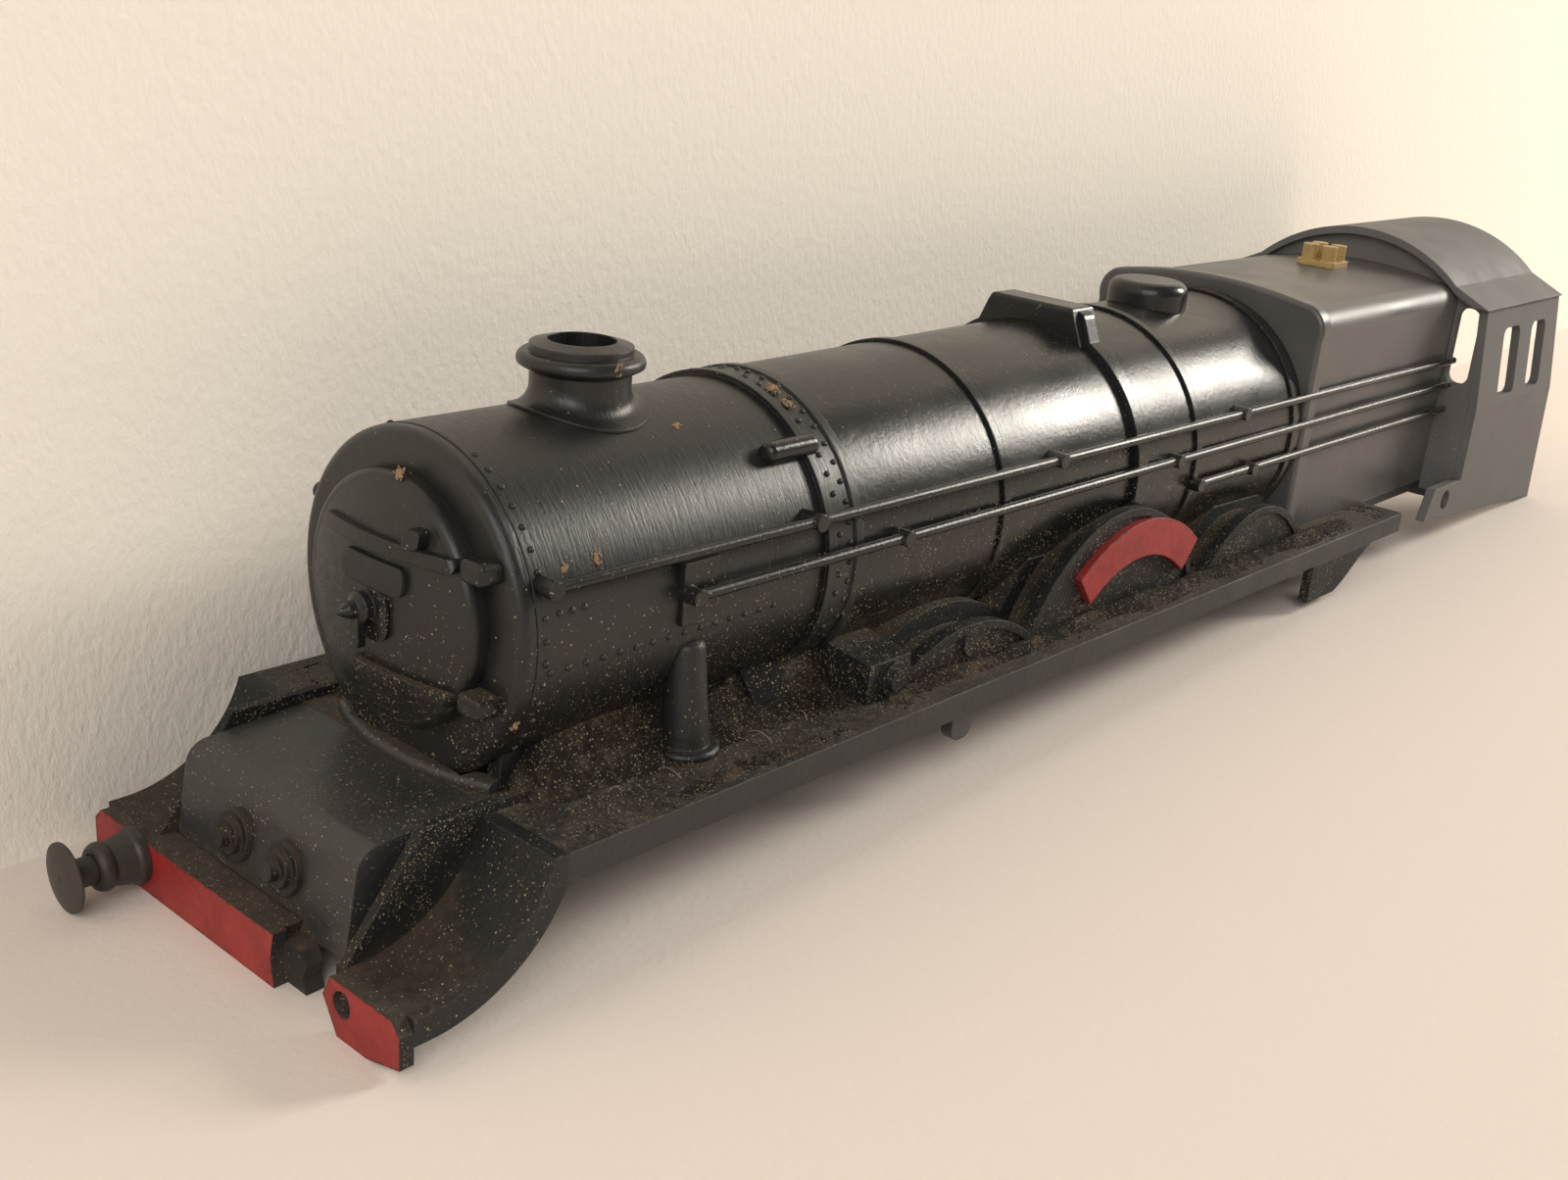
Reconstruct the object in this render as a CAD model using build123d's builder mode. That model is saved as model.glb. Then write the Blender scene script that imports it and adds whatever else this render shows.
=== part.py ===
"""Moulded body shell of a 4 mm scale model of an express steam locomotive.

The shell is the outer body alone: running plate, smokebox, boiler, firebox and cab, hollow and
open below so that it drops over a separate chassis. Its front end is broken: part of the buffer
beam and the left buffer are gone.

Frame: +X points forward, +Y to the engine's left, +Z up. The origin is the middle of the
bounding box at the level of the surface on which the lowest edges rest. All sizes are in mm.
"""

from build123d import *
from math import acos, cos, pi, radians, sin, sqrt
import os

os.makedirs("parts", exist_ok=True)

# ------------------------------------------------------------------------------- driving sizes
# Distances along the engine are measured back from the face of the buffer beam.
# Heights are above the surface on which the lowest edge of the beam rests.

# Clearances and general walls
seat_gap = 0.02             # play round a piece that drops into a cut-out
running_fit = 0.06          # radial play of the buffer ram in its stock
shell_wall = 1.2            # wall of the moulded boiler, smokebox and firebox

# Running plate
plate_half_width = 17.2
plate_top = 10.45
plate_skin = 1.0
plate_rear = 133.6          # rear end of the full-width plate
valance_depth = 2.1
valance_wall = 1.0
well_half_width = 7.0       # opening along the middle that takes the chassis
well_start = 3.2            # how far behind the smokebox front the opening starts

# Buffer beam
beam_height = 3.75
beam_skin = 1.0
beam_depth = 2.3            # depth of the beam's black body behind its painted face
beam_ledge_thickness = 0.9
beam_corner = 0.8
beam_break = 4.5            # where the painted face breaks off, left of the middle
break_slant = 0.7
body_break = (6.5, 6.1, 6.4, 5.9)       # ragged end of the black body, from its foot upwards
stub_lead = 1.2             # how far inside the buffer hole the broken-off end begins

# Curved drop plates that carry the ends of the beam
drop_radius = 9.6
drop_start = 2.0
drop_edge_depth = 1.8
drop_edge_wall = 1.0

# Frame plates and the cover over the inside cylinders
cover_half_width = 9.6
cover_offset = -1.0         # the broken front end has set over to the right
cover_front = 2.3
cover_slope = 1.0
cover_fold_drop = 0.55      # how far the cover's front fold lies below the running plate
cover_wall = 0.9
cover_fold_radius = 1.7
frame_gap_left = 1.0        # gap between cover and frame plate
frame_gap_right = 0.2
frame_thickness = 0.7
frame_toe = 1.2
frame_shoulder = 6.8
frame_rise = 0.7            # how far the frame plates stand above the running plate
frame_length = 18.2         # level top of the frame plates
boss_spacing = 5.6
boss_drop = 4.25            # bosses on the cover's front, below the running plate
boss_radii = (1.75, 1.2, 0.65)
boss_steps = (0.45, 0.9, 1.6)
lip_width = 1.3
lip_height = 0.75
lip_half_span = 8.2
lip_lead = 1.2              # how far the saddle's lip starts ahead of the smokebox
lip_sweep = 1.7

# Smokebox
boiler_pitch = 10.5         # height of the boiler's axis above the running plate
smokebox_front = 12.8
smokebox_length = 27.8
smokebox_radius = 11.55
smokebox_ring_step = 0.05
smokebox_ring_depth = 1.3
smokebox_ring_round = 0.8
casing_rise = 2.55          # height of the side walls that carry the round casings
side_wall_outer = 8.3
side_wall = 1.2
band_length = 3.8
band_base = 0.12
band_bead = 0.16
band_bead_width = 0.8

# Smokebox door and its fittings
door_ledge = 3.0            # width of the flat ring face round the door
door_rise = 0.5             # door's centre above the boiler's axis
door_rim = 1.5
door_crown = 2.7
door_rim_round = 0.7
strap_height = 0.9
strap_thickness = 0.6
strap_offset = 4.35
strap_upper = (-5.3, 7.2)
strap_lower = (-1.9, 7.2)
lug_width = 2.3
lug_height = 1.5
lug_depth = 1.6
number_plate_width = 6.0
number_plate_height = 1.9
number_plate_thickness = 0.4
number_plate_offset = 2.35
number_plate_centre = 0.4
dart_washer_radius = 2.05
dart_washer_thickness = 0.35
dart_boss_radius = 1.05
dart_boss_length = 1.2
dart_boss_chamfer = 0.3
dart_spike = 2.4            # spindle's reach in front of the door's nose
dart_tip_radius = 0.12
handle_length = 2.6
handle_width = 0.9
handle_thickness = 0.6
lamp_iron_width = 1.3
lamp_iron_height = 1.2
lamp_iron_thickness = 0.9
lamp_iron_out = 4.05

# Chimney
chimney_behind_front = 14.2
chimney_stem_radius = 3.46
chimney_stem_height = 2.15  # from the smokebox top to the underside of the bead
chimney_flare = 1.35        # radius of the saddle-shaped flare where the stem meets the smokebox
chimney_lip = 0.2           # thickness of the flare's outer edge
chimney_lip_radius = 4.85
chimney_bead_radius = 4.37
chimney_bead_height = 1.3
chimney_cap_radius = 3.53
chimney_cap_height = 0.5
chimney_mouth_radius = 2.35
chimney_mouth_rise = 0.3
chimney_bore_depth = 3.4

# Boiler
boiler_lagging = 0.2        # step from the smokebox up to the lagged boiler
boiler_taper = 0.95
boiler_length = 72.9
boiler_band_width = 0.9
boiler_band_height = 0.28
boiler_band_offsets = (21.7, 52.0)
last_band_ahead = 1.9       # the last boiler band, ahead of the firebox
feed_behind_band = 20.0     # top feed, behind the first boiler band
feed_length = 3.4
feed_half_width = 4.3
feed_end_slope = 0.8
feed_height = 1.9
feed_pipe_width = 1.6
feed_pipe_height = 0.6
feed_elbow_height = 1.6
feed_elbow_reach = 0.7
dome_behind_band = 8.4      # dome, behind the second boiler band
dome_radius = 3.85
dome_height = 2.1
dome_round = 1.1

# Firebox
firebox_length = 36.5
firebox_side_inset = 0.3    # sides of the firebox inside the boiler's widest part
firebox_crown_step = 0.9    # crown above the rear end of the boiler
firebox_camber = 1.35
firebox_corner = 2.6
firebox_bead = 0.6
firebox_bead_length = 1.8
valve_ahead = 10.5          # safety valves, ahead of the cab
valve_spacing = 2.3
valve_base_height = 0.6
valve_base_round = 0.8
valve_radius = 0.85
valve_height = 2.3

# Pipes and rails along the boiler
rail_radius = 0.4
rail_stand_off = 0.85
knob_radius = 0.62
handrail_rise = 4.1         # above the boiler's axis
handrail_start = 2.0        # behind the smokebox front
handrail_knob_offsets = (24.1, 54.2, 85.2)
steam_rail_drop = 2.8       # below the handrail
steam_rail_start = 13.8
steam_rail_knob_offsets = (21.9, 61.4)
lower_rail_drop = 3.0       # below the ejector pipe
lower_rail_start = 79.8
lower_rail_knob_offsets = (10.4,)
flange_length = 3.2
flange_height = 4.4
flange_thickness = 0.35
ejector_length = 5.3
ejector_radius = 0.8
ejector_ahead = 4.0         # ejector's front end, ahead of the smokebox band
ejector_angle = 45.0

# Pieces standing on the running plate
steam_pipe_behind_front = 15.2
steam_pipe_foot_out = 2.7   # beyond the side wall
steam_pipe_lean = 0.5
steam_pipe_foot_radius = 1.75
steam_pipe_head_radius = 1.3
steam_pipe_height = 7.95
steam_pipe_ring_width = 0.68
steam_pipe_ring_height = 0.55
lubricator_front = 43.8
lubricator_length = 4.9
lubricator_reach = 5.9
lubricator_height = 3.1
lubricator_slope = 0.8
lubricator_cap_radii = (1.4, 0.85)
lubricator_cap_steps = (0.4, 0.75)
bracket_front = 35.4
bracket_length = 3.6
bracket_reach = 2.3
bracket_height = 3.6
bracket_top_width = 0.4
splasher_reach = 5.7        # width of the splashers beyond the side wall
splasher_face = 0.8
splasher_trough = 2.0
splasher_trough_depth = 1.1
splasher_rim = 0.3
splasher_rim_width = 0.7
splasher_inner_rise = 0.7
front_splasher = (56.2, 15.0, 3.65)     # centre along the engine, radius, height above the plate
middle_splasher = (78.3, 14.8, 9.15)
rear_splasher = (104.6, 12.6, 4.85)
splasher_boss_radius = 1.4
splasher_boss_height = 0.35
splasher_boss_behind = 0.7
splasher_boss_rise = 2.15
name_behind_centre = 2.8
name_drop = 1.3             # nameplate's edge below the splasher's
name_outer_radius = 15.6
name_width = 3.4
name_half_angle = 39.5
name_thickness = 0.7

# Cab
cab_front_skin = 1.2
cab_length = 25.8
cab_waist_rise = 9.55       # waist above the running plate
cab_inset = 0.1             # cab sides inside the edge of the running plate
cab_lean = 1.1
cab_eaves_drop = 1.8        # eaves below the firebox shoulder
cab_side_skin = 1.0
cab_sheet_drop = 0.35       # side sheet below the valance
cab_sheet_fall = 2.7        # how much lower the sheet ends at its rear
cab_toe_length = 9.0
cab_toe_slant = 1.5
cab_toe_height = 3.6
cab_toe_hole_lead = 3.8
cab_toe_hole_radius = 1.15
roof_front_lap = 1.0
roof_rear_setback = 2.4
roof_over_firebox = 3.75    # apex of the roof above the firebox crown
roof_shoulder_share = 0.3   # height of the roof's bend, as a share of its rise from the eaves
roof_crown_half_width = 12.2
roof_skin = 0.9
roof_overhang = 0.4
window_corner = 1.0
window_sill = 0.8           # windows above the waist
window_head = 2.6           # windows below the eaves
window_shares = ((0.333, 0.2), (0.674, 0.178))      # centre and width as shares of the cab length
spectacle_width = 2.6
spectacle_centre = 14.0
spectacle_sill = 2.4
spectacle_head = 0.2

# Pieces below the plate
ashpan_front = 112.6
ashpan_drop = 3.95          # below the valance
ashpan_flat = 6.0
ashpan_length = 14.0
ashpan_wall = 1.0
lug_place = 53.7
lug_drop = 2.7
lug_length = 2.6
lug_thickness = 1.0
post_radius = 2.6
post_bore_radius = 0.9
post_bore_depth = 9.0
post_rise = 1.55            # foot of the post above the running plate
rear_bar_setback = 4.5      # behind the cab front
rear_bar_length = 3.0
rear_bar_thickness = 1.6
rear_bar_hole_radius = 0.9

# Buffer
buffer_out = 11.6
buffer_height = 2.4
buffer_hole_radius = 0.85
stock_base_radius = 1.95
stock_base_length = 0.3
stock_shoulder_length = 0.45
stock_shoulder_radius = 1.8
stock_waist_radius = 1.5
stock_waist = 2.1           # reach of the stock's waist in front of the beam
stock_collar_radius = 1.68
stock_collar_length = 1.1
stock_nose_radius = 1.35
stock_bore_radius = 1.2
stock_mouth_radius = 1.05
stock_seat_wall = 0.75      # thickness of the stock's front wall, against which the ram stops
plug_thickness = 0.45
ram_shoulder_length = 0.5
ram_shaft_out = 1.55        # length of shaft seen between stock and head
ram_flare = 0.25
head_radius = 2.4
head_thickness = 0.3
head_crown = 0.35
head_back_chamfer = 0.12
spring_wire_radius = 0.1
spring_turns = 3
spring_facets = 10

# ---------------------------------------------------------------------- sizes worked out of them
stock_length = stock_waist + stock_collar_length
buffer_reach = stock_length + ram_shaft_out + head_thickness + head_crown
ram_shoulder_seat = stock_length - stock_seat_wall

smokebox_rear = smokebox_front + smokebox_length
band_rear = smokebox_rear + band_length
firebox_front = smokebox_rear + boiler_length
firebox_rear = firebox_front + firebox_length
cab_front = firebox_rear
cab_rear = cab_front + cab_length
beam_face_x = (cab_rear - buffer_reach) / 2

plate_bottom = plate_top - plate_skin
valance_bottom = plate_top - valance_depth
casing_cut = plate_top + casing_rise
boiler_axis = plate_top + boiler_pitch
well_front = smokebox_front + well_start
drop_centre_height = beam_height + drop_radius
drop_edge_radius = drop_radius + drop_edge_depth
plate_front = drop_start + sqrt(drop_edge_radius**2 - (drop_centre_height - valance_bottom) ** 2)
beam_ledge_foot = beam_height - beam_ledge_thickness
stub_break = buffer_out - stub_lead

frame_left_inner = cover_half_width + cover_offset + frame_gap_left
frame_right_inner = cover_half_width - cover_offset + frame_gap_right
frame_top = plate_top + frame_rise
frame_tail = frame_shoulder + frame_length
cover_fold_height = plate_top - cover_fold_drop
boss_height = plate_top - boss_drop
lip_front = smokebox_front - lip_lead

smokebox_top = boiler_axis + smokebox_radius
smokebox_ring_radius = smokebox_radius - smokebox_ring_step
door_axis = boiler_axis + door_rise
door_radius = smokebox_ring_radius - door_ledge
door_face = smokebox_front - door_rim
door_nose = door_face - door_crown + door_rim
chimney_centre = smokebox_front + chimney_behind_front
boiler_front_radius = smokebox_radius + boiler_lagging
boiler_rear_radius = boiler_front_radius + boiler_taper
boiler_band_places = [smokebox_rear + offset for offset in boiler_band_offsets]
boiler_band_places.append(firebox_front - last_band_ahead)
feed_place = boiler_band_places[0] + feed_behind_band
dome_place = boiler_band_places[1] + dome_behind_band
firebox_half_width = boiler_rear_radius - firebox_side_inset
firebox_crown = boiler_axis + boiler_rear_radius + firebox_crown_step
firebox_shoulder = firebox_crown - firebox_camber
valve_place = firebox_rear - valve_ahead

handrail_height = boiler_axis + handrail_rise
steam_rail_height = handrail_height - steam_rail_drop
lower_rail_height = steam_rail_height - lower_rail_drop

cab_waist = plate_top + cab_waist_rise
cab_half_width = plate_half_width - cab_inset
cab_eaves_half_width = cab_half_width - cab_lean
cab_eaves = firebox_shoulder - cab_eaves_drop
cab_sheet_bottom_front = valance_bottom - cab_sheet_drop
cab_sheet_bottom_rear = cab_sheet_bottom_front - cab_sheet_fall
cab_toe = cab_front - cab_toe_length
roof_front = cab_front - roof_front_lap
roof_rear = cab_rear - roof_rear_setback
roof_apex = firebox_crown + roof_over_firebox
window_bottom = cab_waist + window_sill
window_height = cab_eaves - window_head - window_bottom
spectacle_bottom = cab_waist + spectacle_sill
spectacle_height = cab_eaves - spectacle_head - spectacle_bottom

splasher_out = side_wall_outer + splasher_reach
lubricator_out = side_wall_outer + lubricator_reach
bracket_out = side_wall_outer + bracket_reach
ashpan_bottom = valance_bottom - ashpan_drop
post_place = chimney_centre
post_bottom = plate_top + post_rise
rear_bar_place = cab_front + rear_bar_setback


def behind(distance):
    """X of a place the given distance behind the face of the buffer beam."""
    return beam_face_x - distance


def lengthwise_plane(y):
    """Upright plane along the engine; it faces right, so a positive extrusion runs towards -Y."""
    return Plane.XZ.offset(-y)


def cross_plane(distance):
    """Upright plane across the engine; it faces forward, so a positive extrusion runs forward."""
    return Plane.YZ.offset(behind(distance))


def boiler_radius(distance):
    """Outer radius of the tapered boiler at a distance behind the beam."""
    share = (distance - smokebox_rear) / (firebox_front - smokebox_rear)
    return boiler_front_radius + share * (boiler_rear_radius - boiler_front_radius)


def finish(builder, name):
    """Label a finished piece and write it out."""
    builder.part.label = name
    export_step(builder.part, f"parts/{name}.step")


def cylinder_along(front, rear, radius):
    """Solid cylinder about the boiler's axis between two distances, for seats and cuts."""
    with BuildPart() as core:
        with BuildSketch(cross_plane(rear)):
            with Locations((0, boiler_axis)):
                Circle(radius)
        extrude(amount=rear - front)
    return core.part


def boiler_core(growth=0.0):
    """Solid of the boiler's outer form, grown by a radial amount."""
    with BuildPart() as core:
        with BuildSketch(lengthwise_plane(0)):
            with BuildLine():
                Polyline(
                    (behind(smokebox_rear), boiler_axis),
                    (behind(smokebox_rear), boiler_axis + boiler_radius(smokebox_rear) + growth),
                    (behind(firebox_front), boiler_axis + boiler_radius(firebox_front) + growth),
                    (behind(firebox_front), boiler_axis),
                    close=True,
                )
            make_face()
        revolve(axis=Axis((0, 0, boiler_axis), (1, 0, 0)))
    return core.part


def ring_on_boiler(front, rear, growth):
    """Band on the tapered boiler, open below the casing cut."""
    inner_front = boiler_axis + boiler_radius(front)
    inner_rear = boiler_axis + boiler_radius(rear)
    with BuildPart() as band:
        with BuildSketch(lengthwise_plane(0)):
            with BuildLine():
                Polyline(
                    (behind(front), inner_front),
                    (behind(front), inner_front + growth),
                    (behind(rear), inner_rear + growth),
                    (behind(rear), inner_rear),
                    close=True,
                )
            make_face()
        revolve(axis=Axis((0, 0, boiler_axis), (1, 0, 0)))
        split(bisect_by=Plane.XY.offset(casing_cut), keep=Keep.TOP)
    return band.part


# ------------------------------------------------------------------------------- running plate
with BuildPart() as running_plate:
    with BuildSketch(cross_plane(plate_rear)):
        with BuildLine():
            Polyline(
                (-plate_half_width, valance_bottom),
                (-plate_half_width, plate_top),
                (plate_half_width, plate_top),
                (plate_half_width, valance_bottom),
                (plate_half_width - valance_wall, valance_bottom),
                (plate_half_width - valance_wall, plate_bottom),
                (-plate_half_width + valance_wall, plate_bottom),
                (-plate_half_width + valance_wall, valance_bottom),
                close=True,
            )
        make_face()
    extrude(amount=plate_rear - plate_front)
    with BuildSketch(Plane.XY.offset(plate_bottom)):
        with Locations((behind((plate_rear + cab_front) / 2), 0)):
            Rectangle(cab_front - plate_rear, 2 * firebox_half_width)
    extrude(amount=plate_skin)
    with BuildSketch(Plane.XY.offset(plate_bottom)):
        with Locations((behind((well_front + cab_front) / 2), 0)):
            Rectangle(cab_front - well_front, 2 * well_half_width)
    extrude(amount=plate_skin, mode=Mode.SUBTRACT)
    add(cylinder_along(smokebox_front, well_front, smokebox_radius + seat_gap), mode=Mode.SUBTRACT)
finish(running_plate, "running_plate")


# --------------------------------------------------------------------- front end: drop plates
def drop_point(radius, angle):
    """Point on an arc about the drop's centre; the angle starts straight below it."""
    return (
        behind(drop_start + radius * sin(angle)),
        drop_centre_height - radius * cos(angle),
    )


def drop_section(depth, foot):
    """Lengthwise section of the drop: a flat toe, a concave sweep and a short top on the plate."""
    low_radius = drop_radius + depth
    top_angle = acos((drop_centre_height - plate_top) / drop_radius)
    low_angle = acos((drop_centre_height - foot) / low_radius)
    toe = behind(beam_skin)
    with BuildSketch() as section:
        with BuildLine():
            Line((toe, beam_height), drop_point(drop_radius, 0))
            ThreePointArc(
                drop_point(drop_radius, 0),
                drop_point(drop_radius, top_angle / 2),
                drop_point(drop_radius, top_angle),
            )
            Line(drop_point(drop_radius, top_angle), (behind(plate_front), plate_top))
            Line((behind(plate_front), plate_top), (behind(plate_front), foot))
            Line((behind(plate_front), foot), drop_point(low_radius, low_angle - 0.01))
            ThreePointArc(
                drop_point(low_radius, low_angle - 0.01),
                drop_point(low_radius, low_angle / 2),
                drop_point(low_radius, 0),
            )
            Line(drop_point(low_radius, 0), (toe, beam_height - depth))
            Line((toe, beam_height - depth), (toe, beam_height))
        make_face()
    return section.sketch


def make_drop_plate(side, inner):
    """One curved plate from the running plate down to the beam, with its deeper outer edge."""
    first = plate_half_width if side > 0 else -inner
    edge = plate_half_width if side > 0 else -plate_half_width + drop_edge_wall
    with BuildPart() as drop:
        with BuildSketch(lengthwise_plane(first)):
            add(drop_section(plate_skin, plate_bottom))
        extrude(amount=plate_half_width - inner)
        with BuildSketch(lengthwise_plane(edge)):
            add(drop_section(drop_edge_depth, valance_bottom))
        extrude(amount=drop_edge_wall)
    return drop


drop_plate_left = make_drop_plate(1, frame_left_inner + frame_thickness)
finish(drop_plate_left, "drop_plate_left")
drop_plate_right = make_drop_plate(-1, frame_right_inner + frame_thickness)
finish(drop_plate_right, "drop_plate_right")

# ------------------------------------------------------------------------ front end: buffer beam
with BuildPart() as buffer_beam:
    with BuildSketch(cross_plane(beam_skin)):
        with BuildLine():
            Polyline(
                (-plate_half_width, beam_corner),
                (-plate_half_width, beam_height - beam_corner),
                (-plate_half_width + beam_corner, beam_height),
                (beam_break, beam_height),
                (beam_break - break_slant / 2, beam_height / 2),
                (beam_break, 0),
                (-plate_half_width + 4 * beam_corner, 0),
                close=True,
            )
        make_face()
        with Locations((-buffer_out, buffer_height)):
            Circle(buffer_hole_radius, mode=Mode.SUBTRACT)
    extrude(amount=beam_skin)
    with BuildSketch(cross_plane(beam_depth)):
        ragged_end = []
        for level, ragged in enumerate(body_break):
            ragged_end.append((ragged, beam_ledge_foot * level / (len(body_break) - 1)))
        with BuildLine():
            Polyline(
                (-frame_right_inner, 0),
                *ragged_end,
                (beam_break - break_slant, beam_ledge_foot),
                (beam_break - break_slant / 2, beam_height),
                (-frame_right_inner, beam_height),
                close=True,
            )
        make_face()
    extrude(amount=beam_depth - beam_skin)
finish(buffer_beam, "buffer_beam")

with BuildPart() as buffer_beam_end:
    with BuildSketch(cross_plane(beam_skin)):
        with BuildLine():
            Polyline(
                (stub_break, beam_height),
                (stub_break - break_slant, beam_height * 0.6),
                (stub_break + break_slant, 0),
                (plate_half_width - 4 * beam_corner, 0),
                (plate_half_width, beam_corner),
                (plate_half_width, beam_height - beam_corner),
                (plate_half_width - beam_corner, beam_height),
                close=True,
            )
        make_face()
        with Locations((buffer_out, buffer_height)):
            Circle(buffer_hole_radius, mode=Mode.SUBTRACT)
    extrude(amount=beam_skin)
finish(buffer_beam_end, "buffer_beam_end")


# ----------------------------------------------------------------------- front end: frame plates
def make_frame_plate(outer_y):
    """Thin upright plate that slopes up from the beam and runs back beside the smokebox."""
    foot = beam_height - plate_skin
    with BuildPart() as frame:
        with BuildSketch(lengthwise_plane(outer_y)):
            with BuildLine():
                Polyline(
                    (behind(beam_skin), foot),
                    (behind(beam_skin), beam_height),
                    (behind(frame_toe), beam_height),
                    (behind(frame_shoulder), frame_top),
                    (behind(frame_tail), frame_top),
                    (behind(frame_tail), plate_top),
                    (behind(plate_front), plate_top),
                    (behind(plate_front), valance_bottom),
                    (behind(frame_shoulder), foot),
                    close=True,
                )
            make_face()
        extrude(amount=frame_thickness)
    return frame


frame_plate_left = make_frame_plate(frame_left_inner + frame_thickness)
finish(frame_plate_left, "frame_plate_left")
frame_plate_right = make_frame_plate(-frame_right_inner)
finish(frame_plate_right, "frame_plate_right")

# --------------------------------------------------------------------- front end: cylinder cover
with BuildPart() as cylinder_cover:
    with BuildSketch(lengthwise_plane(cover_offset + cover_half_width)):
        with BuildLine():
            FilletPolyline(
                (behind(cover_front), beam_ledge_foot),
                (behind(cover_front + cover_slope), cover_fold_height),
                (behind(plate_front), plate_top),
                radius=cover_fold_radius,
            )
            Polyline(
                (behind(plate_front), plate_top),
                (behind(plate_front), valance_bottom),
                (behind(frame_shoulder), beam_ledge_foot),
                (behind(cover_front), beam_ledge_foot),
            )
        make_face()
    extrude(amount=2 * cover_half_width)
    with BuildSketch(lengthwise_plane(cover_offset + cover_half_width - cover_wall)):
        with BuildLine():
            FilletPolyline(
                (behind(cover_front + cover_wall), 0),
                (behind(cover_front + cover_wall + cover_slope), cover_fold_height - cover_wall),
                (behind(plate_front), plate_top - cover_wall),
                radius=cover_fold_radius - cover_wall,
            )
            Polyline(
                (behind(plate_front), plate_top - cover_wall),
                (behind(plate_front), 0),
                (behind(cover_front + cover_wall), 0),
            )
        make_face()
    extrude(amount=2 * (cover_half_width - cover_wall), mode=Mode.SUBTRACT)
finish(cylinder_cover, "cylinder_cover")

with BuildPart() as cover_bosses:
    lean = cover_slope / (cover_fold_height - beam_ledge_foot)
    face_at_boss = cover_front + lean * (boss_height - beam_ledge_foot)
    face_plane = Plane(
        origin=(behind(face_at_boss), cover_offset, boss_height),
        x_dir=(0, 1, 0),
        z_dir=(1, 0, lean),
    )
    for boss_radius, boss_step in zip(boss_radii, boss_steps):
        with BuildSketch(face_plane):
            with GridLocations(boss_spacing, 0, 2, 1):
                Circle(boss_radius)
        extrude(amount=boss_step)
finish(cover_bosses, "cover_bosses")

# ----------------------------------------------------------------------- side walls and smokebox
def make_side_wall(outer_y):
    """Upright wall that carries the round casings above the running plate."""
    with BuildPart() as wall:
        with BuildSketch(lengthwise_plane(outer_y)):
            with BuildLine():
                Polyline(
                    (behind(smokebox_front + smokebox_ring_depth), plate_top),
                    (behind(smokebox_front + smokebox_ring_depth), casing_cut),
                    (behind(firebox_front), casing_cut),
                    (behind(firebox_front), plate_top),
                    close=True,
                )
            make_face()
        extrude(amount=side_wall)
    return wall


side_wall_left = make_side_wall(side_wall_outer)
finish(side_wall_left, "side_wall_left")
side_wall_right = make_side_wall(-side_wall_outer + side_wall)
finish(side_wall_right, "side_wall_right")

with BuildPart() as saddle_lip:
    with BuildSketch(Plane.XY.offset(plate_top)):
        with BuildLine():
            ThreePointArc(
                (behind(lip_front + lip_sweep), -lip_half_span),
                (behind(lip_front), 0),
                (behind(lip_front + lip_sweep), lip_half_span),
            )
            ThreePointArc(
                (behind(lip_front + lip_sweep + lip_width), -lip_half_span),
                (behind(lip_front + lip_width), 0),
                (behind(lip_front + lip_sweep + lip_width), lip_half_span),
            )
            for end in (-lip_half_span, lip_half_span):
                Line(
                    (behind(lip_front + lip_sweep), end),
                    (behind(lip_front + lip_sweep + lip_width), end),
                )
        make_face()
    extrude(amount=lip_height)
    fillet(saddle_lip.faces().sort_by(Axis.Z)[-1].edges().sort_by(Axis.X)[-1], lip_width * 0.4)
    add(
        cylinder_along(smokebox_front - seat_gap, frame_tail, smokebox_radius + seat_gap),
        mode=Mode.SUBTRACT,
    )
    for wall in (side_wall_left, side_wall_right):
        add(wall.part, mode=Mode.SUBTRACT)
finish(saddle_lip, "saddle_lip")

with BuildPart() as smokebox:
    smokebox_body_front = smokebox_front + smokebox_ring_depth
    add(cylinder_along(smokebox_body_front, smokebox_rear, smokebox_radius))
    add(
        cylinder_along(smokebox_body_front, smokebox_rear, smokebox_radius - shell_wall),
        mode=Mode.SUBTRACT,
    )
    split(bisect_by=Plane.XY.offset(casing_cut), keep=Keep.TOP)
finish(smokebox, "smokebox")

with BuildPart() as smokebox_ring:
    add(cylinder_along(smokebox_front, smokebox_front + smokebox_ring_depth, smokebox_ring_radius))
    fillet(smokebox_ring.faces().sort_by(Axis.X)[-1].edges(), smokebox_ring_round)
finish(smokebox_ring, "smokebox_ring")

with BuildPart() as smokebox_band:
    bead_fronts = (smokebox_rear, band_rear - band_bead_width)
    add(ring_on_boiler(smokebox_rear, band_rear, band_base))
    for bead_front in bead_fronts:
        add(ring_on_boiler(bead_front, bead_front + band_bead_width, band_base + band_bead))
finish(smokebox_band, "smokebox_band")


# ----------------------------------------------------------------------------- smokebox door
def door_solid(growth):
    """Domed door as a solid of revolution, its face grown forward by an amount."""
    face = behind(door_face) + growth
    nose = behind(door_nose) + growth
    rim = door_axis + door_radius
    with BuildPart() as door:
        with BuildSketch(lengthwise_plane(0)):
            with BuildLine():
                Line((behind(smokebox_front), door_axis), (behind(smokebox_front), rim))
                Line((behind(smokebox_front), rim), (face - door_rim_round, rim))
                ThreePointArc(
                    (face - door_rim_round, rim),
                    (face - door_rim_round * 0.293, rim - door_rim_round * 0.293),
                    (face, rim - door_rim_round),
                )
                TangentArc((nose, door_axis), (face, rim - door_rim_round), tangent=(0, 1))
                Line((nose, door_axis), (behind(smokebox_front), door_axis))
            make_face()
        revolve(axis=Axis((0, 0, door_axis), (1, 0, 0)))
    return door.part


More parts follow.
